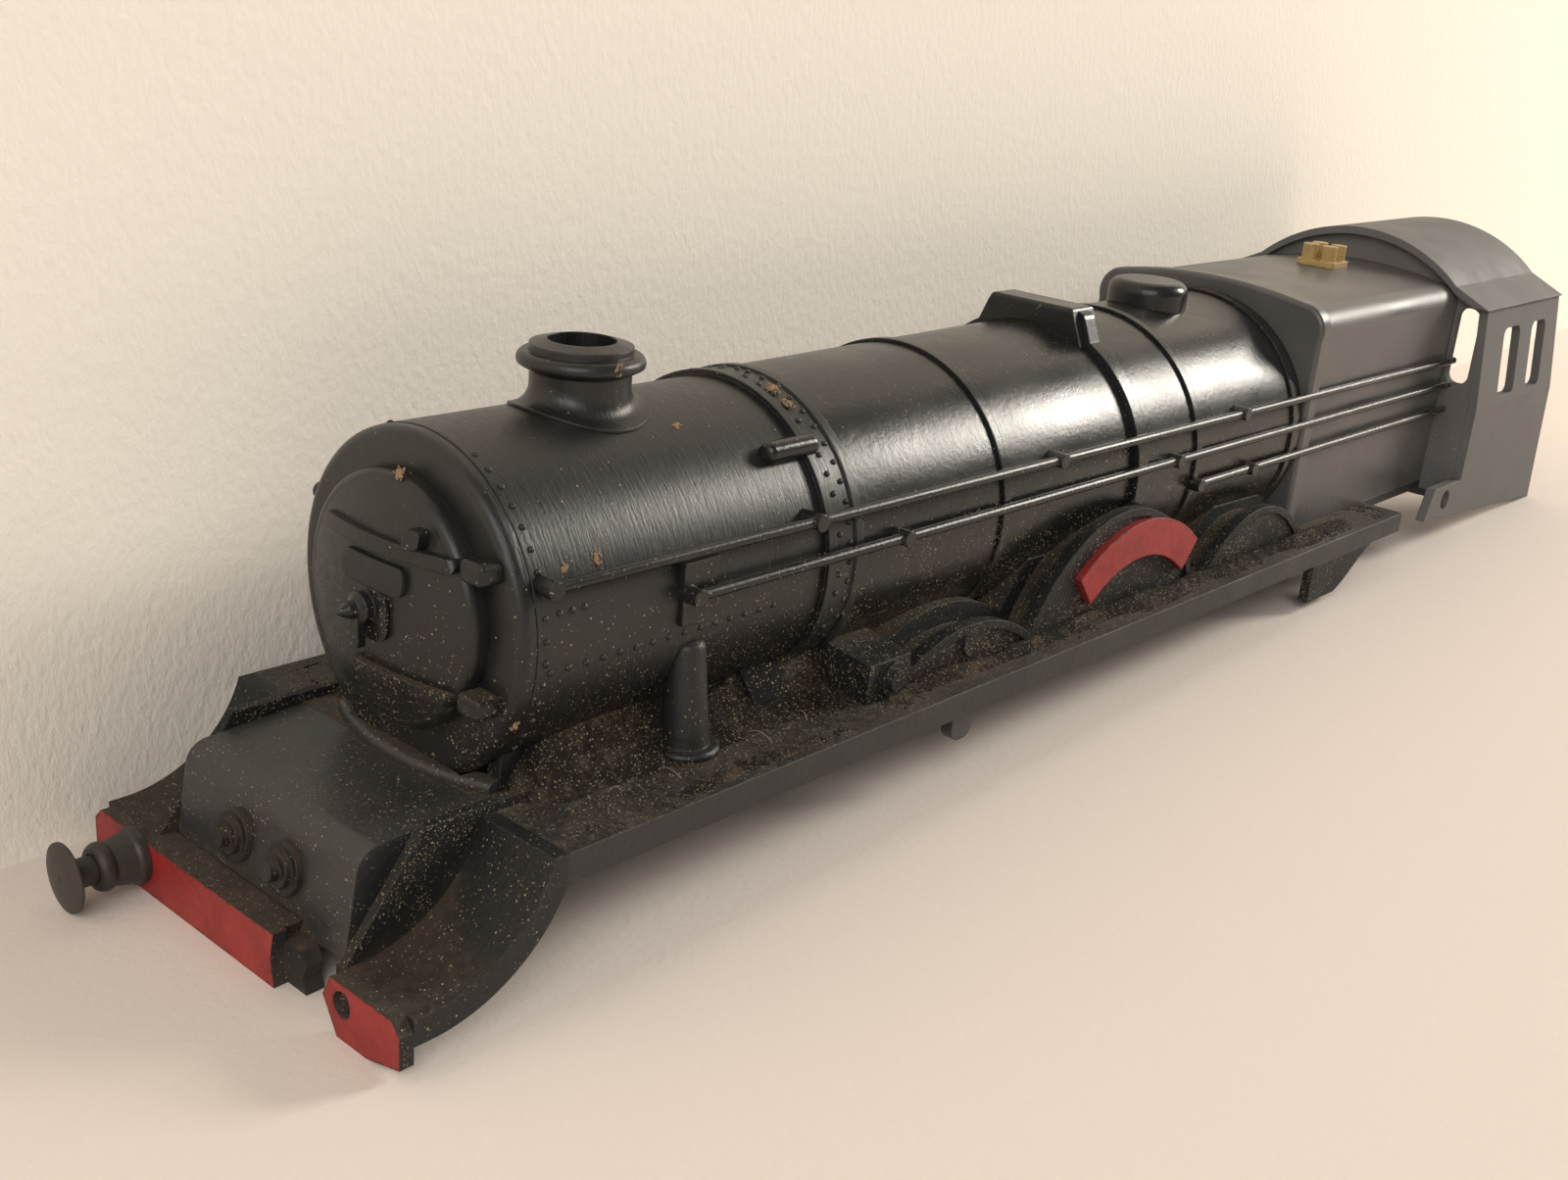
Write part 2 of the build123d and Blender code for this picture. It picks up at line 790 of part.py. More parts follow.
def skin_on_door(low, high, left, right, thickness):
    """Piece of even thickness on the door's face, between two heights and two sides."""
    with BuildPart() as skin:
        with BuildSketch(cross_plane(smokebox_front)):
            with Locations(((left + right) / 2, (low + high) / 2)):
                RectangleRounded(right - left, high - low, min(right - left, high - low) * 0.3)
        extrude(amount=smokebox_front)
        add(door_solid(thickness), mode=Mode.INTERSECT)
        add(door_solid(0), mode=Mode.SUBTRACT)
    return skin.part


with BuildPart() as smokebox_door:
    add(door_solid(0))
finish(smokebox_door, "smokebox_door")

with BuildPart() as door_straps:
    for strap_level, strap_ends in ((strap_offset, strap_upper), (-strap_offset, strap_lower)):
        add(
            skin_on_door(
                door_axis + strap_level - strap_height / 2,
                door_axis + strap_level + strap_height / 2,
                strap_ends[0],
                strap_ends[1],
                strap_thickness,
            )
        )
finish(door_straps, "door_straps")

with BuildPart() as door_hinges:
    lug_inner = sqrt(door_radius**2 - strap_offset**2)
    with BuildSketch(cross_plane(smokebox_front)):
        for level in (strap_offset, -strap_offset):
            with Locations((lug_inner + lug_width / 2, door_axis + level)):
                RectangleRounded(lug_width, lug_height, lug_height * 0.3)
    extrude(amount=lug_depth)
    fillet(door_hinges.faces().group_by(Axis.X)[-1].edges(), lug_height * 0.2)
    add(door_solid(seat_gap), mode=Mode.SUBTRACT)
finish(door_hinges, "door_hinges")

with BuildPart() as number_plate:
    add(
        skin_on_door(
            door_axis + number_plate_offset - number_plate_height / 2,
            door_axis + number_plate_offset + number_plate_height / 2,
            number_plate_centre - number_plate_width / 2,
            number_plate_centre + number_plate_width / 2,
            number_plate_thickness,
        )
    )
finish(number_plate, "number_plate")

with BuildPart() as door_dart:
    boss_front = door_nose - dart_boss_length
    with BuildSketch(lengthwise_plane(0)):
        with BuildLine():
            Polyline(
                (behind(door_face), door_axis),
                (behind(door_face), door_axis + dart_boss_radius),
                (behind(boss_front + dart_boss_chamfer), door_axis + dart_boss_radius),
                (behind(boss_front), door_axis + dart_boss_radius * 0.6),
                (behind(door_nose - dart_spike * 0.7), door_axis + dart_boss_radius * 0.5),
                (behind(door_nose - dart_spike), door_axis + dart_tip_radius),
                (behind(door_nose - dart_spike), door_axis),
                close=True,
            )
        make_face()
    revolve(axis=Axis((0, 0, door_axis), (1, 0, 0)))
    with BuildSketch(cross_plane(door_nose - handle_thickness)):
        with Locations((0, door_axis - handle_length / 2)):
            RectangleRounded(handle_width, handle_length, handle_width * 0.35)
    extrude(amount=handle_thickness)
    add(
        skin_on_door(
            door_axis - dart_washer_radius,
            door_axis + number_plate_offset - number_plate_height / 2 - seat_gap,
            -dart_washer_radius,
            dart_washer_radius,
            dart_washer_thickness,
        )
    )
    add(door_solid(0), mode=Mode.SUBTRACT)
finish(door_dart, "door_dart")

with BuildPart() as lamp_irons:
    lamp_level = door_axis + strap_offset + strap_height / 2 + lamp_iron_height / 2 + seat_gap
    add(
        skin_on_door(
            lamp_level - lamp_iron_height / 2,
            lamp_level + lamp_iron_height / 2,
            lamp_iron_out - lamp_iron_width / 2,
            lamp_iron_out + lamp_iron_width / 2,
            lamp_iron_thickness,
        )
    )
finish(lamp_irons, "lamp_irons")

# ----------------------------------------------------------------------------------- chimney
with BuildPart() as chimney:
    chimney_x = behind(chimney_centre)
    stem_top = smokebox_top + chimney_stem_height
    bead_top = stem_top + chimney_bead_height
    cap_top = bead_top + chimney_cap_height
    mouth_top = cap_top + chimney_mouth_rise
    bead_start_radius = chimney_bead_radius * 0.985
    bead_end_radius = chimney_cap_radius * 1.055
    lip_start = chimney_centre - 2 * chimney_lip_radius
    lip_end = chimney_centre + 2 * chimney_lip_radius
    add(cylinder_along(lip_start, lip_end, smokebox_radius + chimney_lip))
    with BuildSketch(Plane.XY.offset(boiler_axis)):
        with Locations((chimney_x, 0)):
            Circle(chimney_stem_radius)
    extrude(amount=stem_top - boiler_axis)
    curved_edges = chimney.edges().filter_by(GeomType.LINE, reverse=True)
    flare_edges = curved_edges.filter_by(GeomType.CIRCLE, reverse=True)
    fillet(flare_edges, chimney_flare)
    with BuildSketch(Plane.XY.offset(boiler_axis)):
        with Locations((chimney_x, 0)):
            Circle(chimney_lip_radius)
    extrude(amount=stem_top - boiler_axis, mode=Mode.INTERSECT)
    with BuildSketch(Plane.XZ):
        with BuildLine():
            Polyline(
                (chimney_x, stem_top - chimney_bead_height / 2),
                (chimney_x + chimney_stem_radius, stem_top - chimney_bead_height / 2),
                (chimney_x + chimney_stem_radius, stem_top),
                (chimney_x + bead_start_radius, stem_top + chimney_bead_height * 0.35),
            )
            ThreePointArc(
                (chimney_x + bead_start_radius, stem_top + chimney_bead_height * 0.35),
                (chimney_x + chimney_bead_radius, stem_top + chimney_bead_height * 0.6),
                (chimney_x + bead_end_radius, bead_top),
            )
            Polyline(
                (chimney_x + bead_end_radius, bead_top),
                (chimney_x + chimney_cap_radius, bead_top),
                (chimney_x + chimney_cap_radius, cap_top),
                (chimney_x + chimney_mouth_radius, mouth_top),
                (chimney_x, mouth_top),
                (chimney_x, stem_top - chimney_bead_height / 2),
            )
        make_face()
    revolve(axis=Axis((chimney_x, 0, 0), (0, 0, 1)))
    with BuildSketch(Plane.XY.offset(mouth_top - chimney_bore_depth)):
        with Locations((chimney_x, 0)):
            Circle(chimney_mouth_radius)
    extrude(amount=chimney_bore_depth, mode=Mode.SUBTRACT)
    add(
        cylinder_along(lip_start - seat_gap, lip_end + seat_gap, smokebox_radius),
        mode=Mode.SUBTRACT,
    )
finish(chimney, "chimney")

# ------------------------------------------------------------------------------------ boiler
with BuildPart() as boiler_barrel:
    add(boiler_core())
    add(boiler_core(-shell_wall), mode=Mode.SUBTRACT)
    split(bisect_by=Plane.XY.offset(casing_cut), keep=Keep.TOP)
finish(boiler_barrel, "boiler_barrel")

with BuildPart() as boiler_bands:
    for place in boiler_band_places:
        add(
            ring_on_boiler(
                place - boiler_band_width / 2,
                place + boiler_band_width / 2,
                boiler_band_height,
            )
        )
finish(boiler_bands, "boiler_bands")

def feed_section(half_width, slope, growth):
    """Cross-section of the top feed: flat top, ends that slope down into the boiler."""
    top = boiler_axis + boiler_radius(feed_place) + growth
    foot = boiler_axis + boiler_radius(feed_place) * 0.6
    run = slope * (top - foot) / feed_height
    with BuildSketch() as section:
        with BuildLine():
            Polyline(
                (-half_width, top),
                (half_width, top),
                (half_width + run, foot),
                (-half_width - run, foot),
                close=True,
            )
        make_face()
    return section.sketch


with BuildPart() as top_feed:
    with BuildSketch(cross_plane(feed_place + feed_length / 2)):
        add(feed_section(feed_half_width, feed_end_slope, feed_height))
    extrude(amount=feed_length)
    top_edges = top_feed.faces().sort_by(Axis.Z)[-1].edges()
    fillet(top_edges, feed_height * 0.2)
    add(boiler_core(), mode=Mode.SUBTRACT)
finish(top_feed, "top_feed")

with BuildPart() as feed_pipes:
    pipe_start = feed_place - feed_pipe_width / 2
    pipe_end = feed_place + feed_pipe_width / 2
    add(ring_on_boiler(pipe_start, pipe_end, feed_pipe_height))
    with BuildSketch(cross_plane(pipe_end)):
        add(feed_section(feed_half_width + feed_elbow_reach, feed_end_slope, feed_elbow_height))
    extrude(amount=feed_pipe_width)
    ridge = feed_pipes.edges().filter_by(Axis.X).group_by(Axis.Z)[-1]
    fillet(ridge, feed_elbow_height * 0.6)
    add(boiler_core(), mode=Mode.SUBTRACT)
    add(top_feed.part, mode=Mode.SUBTRACT)
    with BuildSketch(Plane.XY):
        with Locations((behind(feed_place), 0)):
            Rectangle(feed_length + feed_pipe_width, 2 * feed_half_width)
    extrude(amount=roof_apex, mode=Mode.SUBTRACT)
finish(feed_pipes, "feed_pipes")

with BuildPart() as dome:
    dome_base = boiler_axis + boiler_front_radius * 0.9
    dome_top = boiler_axis + boiler_radius(dome_place) + dome_height
    with BuildSketch(Plane.XY.offset(dome_base)):
        with Locations((behind(dome_place), 0)):
            Circle(dome_radius)
    extrude(amount=dome_top - dome_base)
    fillet(dome.faces().sort_by(Axis.Z)[-1].edges(), dome_round)
    add(boiler_core(), mode=Mode.SUBTRACT)
    add(boiler_bands.part, mode=Mode.SUBTRACT)
finish(dome, "dome")


# ------------------------------------------------------------------------------------ firebox
def firebox_section(growth):
    """Cross-section of the square-topped firebox, grown outward by an amount."""
    half = firebox_half_width + growth
    shoulder_foot = firebox_shoulder - firebox_corner
    shoulder_head = firebox_shoulder + growth + 0.35
    corner_height = firebox_shoulder - firebox_corner * 0.22 + growth
    with BuildSketch() as section:
        with BuildLine():
            Line((-half, plate_top), (-half, shoulder_foot))
            ThreePointArc(
                (-half, shoulder_foot),
                (-half + firebox_corner * 0.22, corner_height),
                (-half + firebox_corner, shoulder_head),
            )
            ThreePointArc(
                (-half + firebox_corner, shoulder_head),
                (0, firebox_crown + growth),
                (half - firebox_corner, shoulder_head),
            )
            ThreePointArc(
                (half - firebox_corner, shoulder_head),
                (half - firebox_corner * 0.22, corner_height),
                (half, shoulder_foot),
            )
            Line((half, shoulder_foot), (half, plate_top))
            Line((half, plate_top), (-half, plate_top))
        make_face()
    return section.sketch


def firebox_core():
    """Solid of the firebox's outer form, with the rounded bead round its front edge."""
    with BuildPart() as core:
        with BuildSketch(cross_plane(firebox_rear)):
            add(firebox_section(0))
        extrude(amount=firebox_rear - firebox_front)
        with BuildSketch(cross_plane(firebox_front + firebox_bead_length)):
            add(firebox_section(firebox_bead))
        extrude(amount=firebox_bead_length)
        bead_edges = core.faces().sort_by(Axis.X)[-1].edges().sort_by(Axis.Z)[1:]
        fillet(bead_edges, firebox_bead * 0.8)
    return core.part


with BuildPart() as firebox:
    add(firebox_core())
    with BuildSketch(cross_plane(firebox_rear)):
        add(firebox_section(-shell_wall))
    extrude(amount=firebox_rear - firebox_front - shell_wall, mode=Mode.SUBTRACT)
    with BuildSketch(cross_plane(firebox_front + shell_wall)):
        with Locations((0, boiler_axis)):
            Circle(boiler_rear_radius - shell_wall)
        with Locations((0, (plate_top + boiler_axis) / 2)):
            Rectangle(2 * well_half_width, boiler_axis - plate_top)
    extrude(amount=2 * shell_wall, mode=Mode.SUBTRACT)
finish(firebox, "firebox")

with BuildPart() as safety_valves:
    with BuildSketch(Plane.XY.offset(firebox_shoulder)):
        with Locations((behind(valve_place), 0)):
            RectangleRounded(2 * valve_spacing, 2 * valve_spacing, valve_base_round)
    extrude(amount=firebox_crown - firebox_shoulder + valve_base_height)
    with BuildSketch(Plane.XY.offset(firebox_crown)):
        with Locations((behind(valve_place), 0)):
            with GridLocations(valve_spacing, valve_spacing, 2, 2):
                Circle(valve_radius)
    extrude(amount=valve_height)
    with BuildSketch(cross_plane(firebox_rear)):
        add(firebox_section(0))
    extrude(amount=firebox_rear - firebox_front, mode=Mode.SUBTRACT)
finish(safety_valves, "safety_valves")


# ------------------------------------------------------------------- rails, pipes and fittings
def rail_out(distance, height):
    """Distance of a rail's centre from the middle plane, along its straight run."""
    front = sqrt(smokebox_radius**2 - (height - boiler_axis) ** 2) + rail_stand_off
    share = (distance - smokebox_front) / (cab_front - smokebox_front)
    return front + share * (firebox_half_width + rail_stand_off - front)


# Outer forms of the round casings and their bands, to which the small pieces are fitted
casings = (
    cylinder_along(smokebox_front, smokebox_rear, smokebox_radius),
    boiler_core(),
    smokebox_band.part,
    boiler_bands.part,
    feed_pipes.part,
    firebox_core(),
)


def make_rail(side, height, front, knobs, flange):
    """Straight rail to the cab front on round knobs; a flange plate may back its front end."""
    start = Vector(behind(front), side * rail_out(front, height), height)
    end = Vector(behind(cab_front), side * rail_out(cab_front, height), height)
    with BuildPart() as rail:
        with BuildSketch(Plane(origin=start, z_dir=end - start)):
            Circle(rail_radius)
        extrude(amount=(end - start).length)
        for place in (front,) + knobs:
            centre = Vector(behind(place), side * rail_out(place, height), height)
            with BuildSketch(lengthwise_plane(centre.Y + side * knob_radius)):
                with Locations((centre.X, centre.Z)):
                    Circle(knob_radius)
            extrude(amount=side * (3 * rail_stand_off + knob_radius))
        if flange:
            with BuildSketch(lengthwise_plane(side * smokebox_radius + flange_thickness)):
                with Locations((behind(front + flange_length / 3), height)):
                    Rectangle(flange_length, flange_height)
            extrude(amount=2 * flange_thickness)
        for casing in casings:
            add(casing, mode=Mode.SUBTRACT)
    return rail


def places(start, offsets):
    """Distances of a row of fittings, given as offsets behind the first."""
    return tuple(start + offset for offset in offsets)


handrail_front = smokebox_front + handrail_start
handrail_knobs = places(handrail_front, handrail_knob_offsets)
steam_rail_front = smokebox_front + steam_rail_start
steam_rail_knobs = places(steam_rail_front, steam_rail_knob_offsets)
lower_rail_front = smokebox_front + lower_rail_start
lower_rail_knobs = places(lower_rail_front, lower_rail_knob_offsets)
for side_name, side_sign in (("left", 1), ("right", -1)):
    finish(
        make_rail(side_sign, handrail_height, handrail_front, handrail_knobs, False),
        f"handrail_{side_name}",
    )
    finish(
        make_rail(side_sign, steam_rail_height, steam_rail_front, steam_rail_knobs, True),
        f"ejector_pipe_{side_name}",
    )

with BuildPart() as lower_pipes:
    for side_sign in (1, -1):
        pipe = make_rail(side_sign, lower_rail_height, lower_rail_front, lower_rail_knobs, False)
        add(pipe.part)
finish(lower_pipes, "lower_pipes")

with BuildPart() as ejector:
    ejector_reach = smokebox_radius + ejector_radius * 0.55
    with BuildSketch(cross_plane(smokebox_rear - ejector_ahead + ejector_length)):
        with Locations(
            (
                ejector_reach * cos(radians(ejector_angle)),
                boiler_axis + ejector_reach * sin(radians(ejector_angle)),
            )
        ):
            Circle(ejector_radius)
    extrude(amount=ejector_length)
    fillet(ejector.edges().filter_by(GeomType.CIRCLE), ejector_radius * 0.7)
    for casing in casings:
        add(casing, mode=Mode.SUBTRACT)
finish(ejector, "ejector")


# --------------------------------------------------------------- pieces on the running plate
def make_steam_pipe(side):
    """Tapered steam pipe from a ringed foot on the plate, leaning in under the smokebox."""
    along = behind(smokebox_front + steam_pipe_behind_front)
    foot_out = side * (side_wall_outer + steam_pipe_foot_out)
    head_out = foot_out - side * steam_pipe_lean
    with BuildPart() as pipe:
        with BuildSketch(Plane.XY.offset(plate_top)):
            with Locations((along, foot_out)):
                Circle(steam_pipe_foot_radius)
        with BuildSketch(Plane.XY.offset(plate_top + steam_pipe_height)):
            with Locations((along, head_out)):
                Circle(steam_pipe_head_radius)
        loft()
        fillet(pipe.faces().sort_by(Axis.Z)[-1].edges(), steam_pipe_head_radius * 0.4)
        with BuildSketch(Plane.XY.offset(plate_top)):
            with Locations((along, foot_out)):
                Circle(steam_pipe_foot_radius + steam_pipe_ring_width)
        extrude(amount=steam_pipe_ring_height)
        ring_top = pipe.faces().filter_by(Axis.Z).group_by(Axis.Z)[1]
        fillet(ring_top.edges().sort_by(SortBy.LENGTH)[-1], steam_pipe_ring_height * 0.7)
        for casing in casings:
            add(casing, mode=Mode.SUBTRACT)
    return pipe


def make_lubricator(side):
    """Box with a sloping lid that reaches out from the side wall, a stepped cap on its end."""
    inner_top = plate_top + lubricator_height + lubricator_slope
    outer_top = plate_top + lubricator_height
    with BuildPart() as box:
        with BuildSketch(cross_plane(lubricator_front + lubricator_length)):
            with BuildLine():
                Polyline(
                    (side * side_wall_outer, plate_top),
                    (side * side_wall_outer, inner_top),
                    (side * lubricator_out, outer_top),
                    (side * lubricator_out, plate_top),
                    close=True,
                )
            make_face()
        extrude(amount=lubricator_length)
        for cap_step, cap_radius in zip(lubricator_cap_steps, lubricator_cap_radii):
            with BuildSketch(lengthwise_plane(side * lubricator_out)):
                with Locations(
                    (
                        behind(lubricator_front + lubricator_length * 0.55),
                        plate_top + lubricator_height / 2,
                    )
                ):
                    Circle(cap_radius)
            extrude(amount=-side * cap_step)
        for casing in casings:
            add(casing, mode=Mode.SUBTRACT)
    return box


with BuildPart() as plate_brackets:
    for side_sign in (1, -1):
        with BuildSketch(cross_plane(bracket_front + bracket_length)):
            with BuildLine():
                Polyline(
                    (side_sign * side_wall_outer, plate_top),
                    (side_sign * side_wall_outer, plate_top + bracket_height),
                    (side_sign * (side_wall_outer + bracket_top_width), plate_top + bracket_height),
                    (side_sign * bracket_out, plate_top + bracket_height * 0.3),
                    (side_sign * bracket_out, plate_top),
                    close=True,
                )
            make_face()
        extrude(amount=bracket_length)
    for casing in casings:
        add(casing, mode=Mode.SUBTRACT)
finish(plate_brackets, "plate_brackets")


def arch(centre, radius, rise, shrink=0.0):
    """Segment of a circle standing on the running plate, its radius reduced by an amount."""
    centre_height = plate_top + rise - radius
    small = radius - shrink
    half_chord = sqrt(small**2 - (plate_top - centre_height) ** 2)
    rear_foot = (behind(centre) - half_chord, plate_top)
    front_foot = (behind(centre) + half_chord, plate_top)
    with BuildSketch() as segment:
        with BuildLine():
            Line(rear_foot, front_foot)
            ThreePointArc(front_foot, (behind(centre), centre_height + small), rear_foot)
        make_face()
    return segment.sketch


def make_splasher(side, centre, radius, rise, boss):
    """Wheel splasher: a thin face, a lower trough behind it and a taller part by the boiler."""
    face_back = splasher_out - splasher_face
    levels = (
        (side_wall_outer, face_back - splasher_trough, -splasher_inner_rise),
        (face_back - splasher_trough, face_back, splasher_trough_depth),
        (face_back, splasher_out, 0.0),
    )
    with BuildPart() as splasher:
        for inner, outer, shrink in levels:
            with BuildSketch(lengthwise_plane(side * outer)):
                add(arch(centre, radius, rise, shrink))
            extrude(amount=side * (outer - inner))
        with BuildSketch(lengthwise_plane(side * splasher_out)):
            add(arch(centre, radius, rise))
            add(arch(centre, radius, rise, splasher_rim_width), mode=Mode.SUBTRACT)
        extrude(amount=-side * splasher_rim)
        if boss:
            with BuildSketch(lengthwise_plane(side * splasher_out)):
                with Locations(
                    (behind(centre + splasher_boss_behind), plate_top + splasher_boss_rise)
                ):
                    Circle(splasher_boss_radius)
            extrude(amount=-side * splasher_boss_height)
        for casing in casings:
            add(casing, mode=Mode.SUBTRACT)
    return splasher


def make_nameplate(side):
    """Bare curved plate on the face of the middle splasher."""
    centre_height = plate_top + middle_splasher[2] - name_drop - name_outer_radius
    name_centre = middle_splasher[0] + name_behind_centre
    left_end = radians(90 + name_half_angle)
    right_end = radians(90 - name_half_angle)
    ends = []
    for angle in (left_end, radians(90), right_end):
        for radius in (name_outer_radius, name_outer_radius - name_width):
            ends.append(
                (
                    behind(name_centre) + radius * cos(angle),
                    centre_height + radius * sin(angle),
                )
            )
    with BuildPart() as plate:
        with BuildSketch(lengthwise_plane(side * splasher_out)):
            with BuildLine():
                ThreePointArc(ends[0], ends[2], ends[4])
                Line(ends[4], ends[5])
                ThreePointArc(ends[5], ends[3], ends[1])
                Line(ends[1], ends[0])
            make_face()
        extrude(amount=-side * name_thickness)
    return plate


for side_name, side_sign in (("left", 1), ("right", -1)):
    finish(make_steam_pipe(side_sign), f"steam_pipe_{side_name}")
    nameplate = make_nameplate(side_sign)
    finish(nameplate, f"nameplate_{side_name}")
    middle = make_splasher(side_sign, *middle_splasher, False)
    with middle:
        add(nameplate.part, mode=Mode.SUBTRACT)
    finish(middle, f"splasher_middle_{side_name}")
    front = make_splasher(side_sign, *front_splasher, True)
    with front:
        add(middle.part, mode=Mode.SUBTRACT)
    finish(front, f"splasher_front_{side_name}")
    lubricator = make_lubricator(side_sign)
    with lubricator:
        add(front.part, mode=Mode.SUBTRACT)
    finish(lubricator, f"lubricator_{side_name}")
    finish(make_splasher(side_sign, *rear_splasher, False), f"splasher_rear_{side_name}")


# ---------------------------------------------------------------------------------------- cab
def roof_outline(drop):
    """Points of the roof's outline, lowered by its skin: straight eaves and a crown arc."""
    bend_height = cab_eaves + roof_shoulder_share * (roof_apex - cab_eaves)
    eaves_out = cab_eaves_half_width + roof_overhang - 2 * drop
    return (
        (-eaves_out, cab_eaves),
        (-roof_crown_half_width, bend_height - drop),
        (0, roof_apex - drop),
        (roof_crown_half_width, bend_height - drop),
        (eaves_out, cab_eaves),
    )


def roof_arch(points):
    """Closed section below a roof outline."""
    with BuildSketch() as section:
        with BuildLine():
            Line(points[0], points[1])
            ThreePointArc(points[1], points[2], points[3])
            Line(points[3], points[4])
            Line(points[4], points[0])
        make_face()
    return section.sketch


with BuildPart() as cab_roof:
    with BuildSketch(cross_plane(roof_rear)):
        add(roof_arch(roof_outline(0)))
    extrude(amount=roof_rear - roof_front)
    with BuildSketch(cross_plane(roof_rear)):
        add(roof_arch(roof_outline(roof_skin)))
    extrude(amount=roof_rear - roof_front, mode=Mode.SUBTRACT)
    add(firebox_core(), mode=Mode.SUBTRACT)
finish(cab_roof, "cab_roof")


def make_cab_side(side):
    """Side sheet: upright to the waist, leaning in above it, with windows and a forward toe."""
    lean = (cab_half_width - cab_eaves_half_width) / (cab_eaves - cab_waist)
    with BuildPart() as sheet:
        with BuildSketch(cross_plane(cab_rear)):
            with BuildLine():
                Polyline(
                    (side * cab_half_width, 0),
                    (side * cab_half_width, cab_waist),
                    (side * cab_eaves_half_width, cab_eaves),
                    (side * (cab_eaves_half_width - cab_side_skin), cab_eaves),
                    (side * (cab_half_width - cab_side_skin), cab_waist),
                    (side * (cab_half_width - cab_side_skin), 0),
                    close=True,
                )
            make_face()
        extrude(amount=cab_rear - cab_toe)
        with BuildSketch(lengthwise_plane(side * cab_half_width)):
            with BuildLine():
                Polyline(
                    (behind(cab_toe), cab_sheet_bottom_front),
                    (behind(cab_toe + cab_toe_slant), cab_sheet_bottom_front + cab_toe_height),
                    (behind(cab_front), cab_sheet_bottom_front + cab_toe_height),
                    (behind(cab_front), cab_eaves),
                    (behind(roof_rear), cab_eaves),
                    (behind(cab_rear), cab_sheet_bottom_rear),
                    close=True,
                )
            make_face()
            toe_hole = cab_front - cab_toe_hole_lead
            with Locations((behind(toe_hole), cab_sheet_bottom_front + cab_toe_height / 2)):
                Circle(cab_toe_hole_radius, mode=Mode.SUBTRACT)
            for centre_share, width_share in window_shares:
                window_place = cab_front + centre_share * cab_length
                with Locations((behind(window_place), window_bottom + window_height / 2)):
                    RectangleRounded(
                        width_share * cab_length,
                        window_height,
                        window_corner,
                        mode=Mode.SUBTRACT,
                    )
        extrude(amount=side * cab_half_width, mode=Mode.INTERSECT)
    return sheet


for side_name, side_sign in (("left", 1), ("right", -1)):
    finish(make_cab_side(side_sign), f"cab_side_{side_name}")

with BuildPart() as cab_front_plate:
    inner_half = cab_half_width - cab_side_skin
    inner_eaves = cab_eaves_half_width - cab_side_skin
    with BuildSketch(cross_plane(cab_front + cab_front_skin)):
        roof_points = roof_outline(roof_skin)
        with BuildLine():
            Polyline(
                (inner_eaves, cab_eaves),
                (inner_half, cab_waist),
                (inner_half, plate_bottom),
                (-inner_half, plate_bottom),
                (-inner_half, cab_waist),
                (-inner_eaves, cab_eaves),
            )
            Line((-inner_eaves, cab_eaves), roof_points[1])
            ThreePointArc(roof_points[1], roof_points[2], roof_points[3])
            Line(roof_points[3], (inner_eaves, cab_eaves))
        make_face()
        for side_sign in (1, -1):
            with Locations(
                (side_sign * spectacle_centre, spectacle_bottom + spectacle_height / 2)
            ):
                RectangleRounded(
                    spectacle_width,
                    spectacle_height,
                    spectacle_width * 0.45,
                    mode=Mode.SUBTRACT,
                )
    extrude(amount=cab_front_skin)
    add(cab_roof.part, mode=Mode.SUBTRACT)
finish(cab_front_plate, "cab_front")

with BuildPart() as rear_bar:
    with BuildSketch(Plane.XY.offset(plate_bottom - rear_bar_thickness)):
        with Locations((behind(rear_bar_place), 0)):
            Rectangle(rear_bar_length, 2 * (cab_half_width - cab_side_skin))
            Circle(rear_bar_hole_radius, mode=Mode.SUBTRACT)
    extrude(amount=rear_bar_thickness)
finish(rear_bar, "rear_bar")


# ------------------------------------------------------------------------ pieces below the plate
with BuildPart() as ashpan_sides:
    for side_sign in (1, -1):
        with BuildSketch(lengthwise_plane(side_sign * plate_half_width)):
            with BuildLine():
                Polyline(
                    (behind(ashpan_front + ashpan_length), valance_bottom),
                    (behind(ashpan_front), valance_bottom),
                    (behind(ashpan_front), ashpan_bottom),
                    (behind(ashpan_front + ashpan_flat), ashpan_bottom),
                )
                Spline(
                    (behind(ashpan_front + ashpan_flat), ashpan_bottom),
                    (behind(ashpan_front + ashpan_length), valance_bottom),
                    tangents=[(-1, 0.3), (-1, 0.3)],
                )
            make_face()
        extrude(amount=side_sign * ashpan_wall)
finish(ashpan_sides, "ashpan_sides")

with BuildPart() as valance_lugs:
    lug_bottom = valance_bottom - lug_drop
    for side_sign in (1, -1):
        with BuildSketch(lengthwise_plane(side_sign * (plate_half_width - valance_wall))):
            with Locations((behind(lug_place), (plate_bottom + lug_bottom) / 2)):
                Rectangle(lug_length, plate_bottom - lug_bottom)
        extrude(amount=side_sign * lug_thickness)
    fillet(
        valance_lugs.edges().filter_by(Axis.Y).group_by(Axis.Z)[0],
        lug_length * 0.4,
    )
finish(valance_lugs, "valance_lugs")

with BuildPart() as fixing_post:
    with BuildSketch(Plane.XY.offset(post_bottom)):
        with Locations((behind(post_place), 0)):
            Circle(post_radius)
    extrude(amount=smokebox_top - post_bottom)
    add(
        cylinder_along(
            post_place - 2 * post_radius, post_place + 2 * post_radius, smokebox_radius - shell_wall
        ),
        mode=Mode.INTERSECT,
    )
    with BuildSketch(Plane.XY.offset(post_bottom)):
        with Locations((behind(post_place), 0)):
            Circle(post_bore_radius)
    extrude(amount=post_bore_depth, mode=Mode.SUBTRACT)
finish(fixing_post, "fixing_post")

# ------------------------------------------------------------------------------------- buffer
buffer_axis = Axis((0, -buffer_out, buffer_height), (1, 0, 0))
buffer_plane = Plane.XZ.offset(buffer_out)


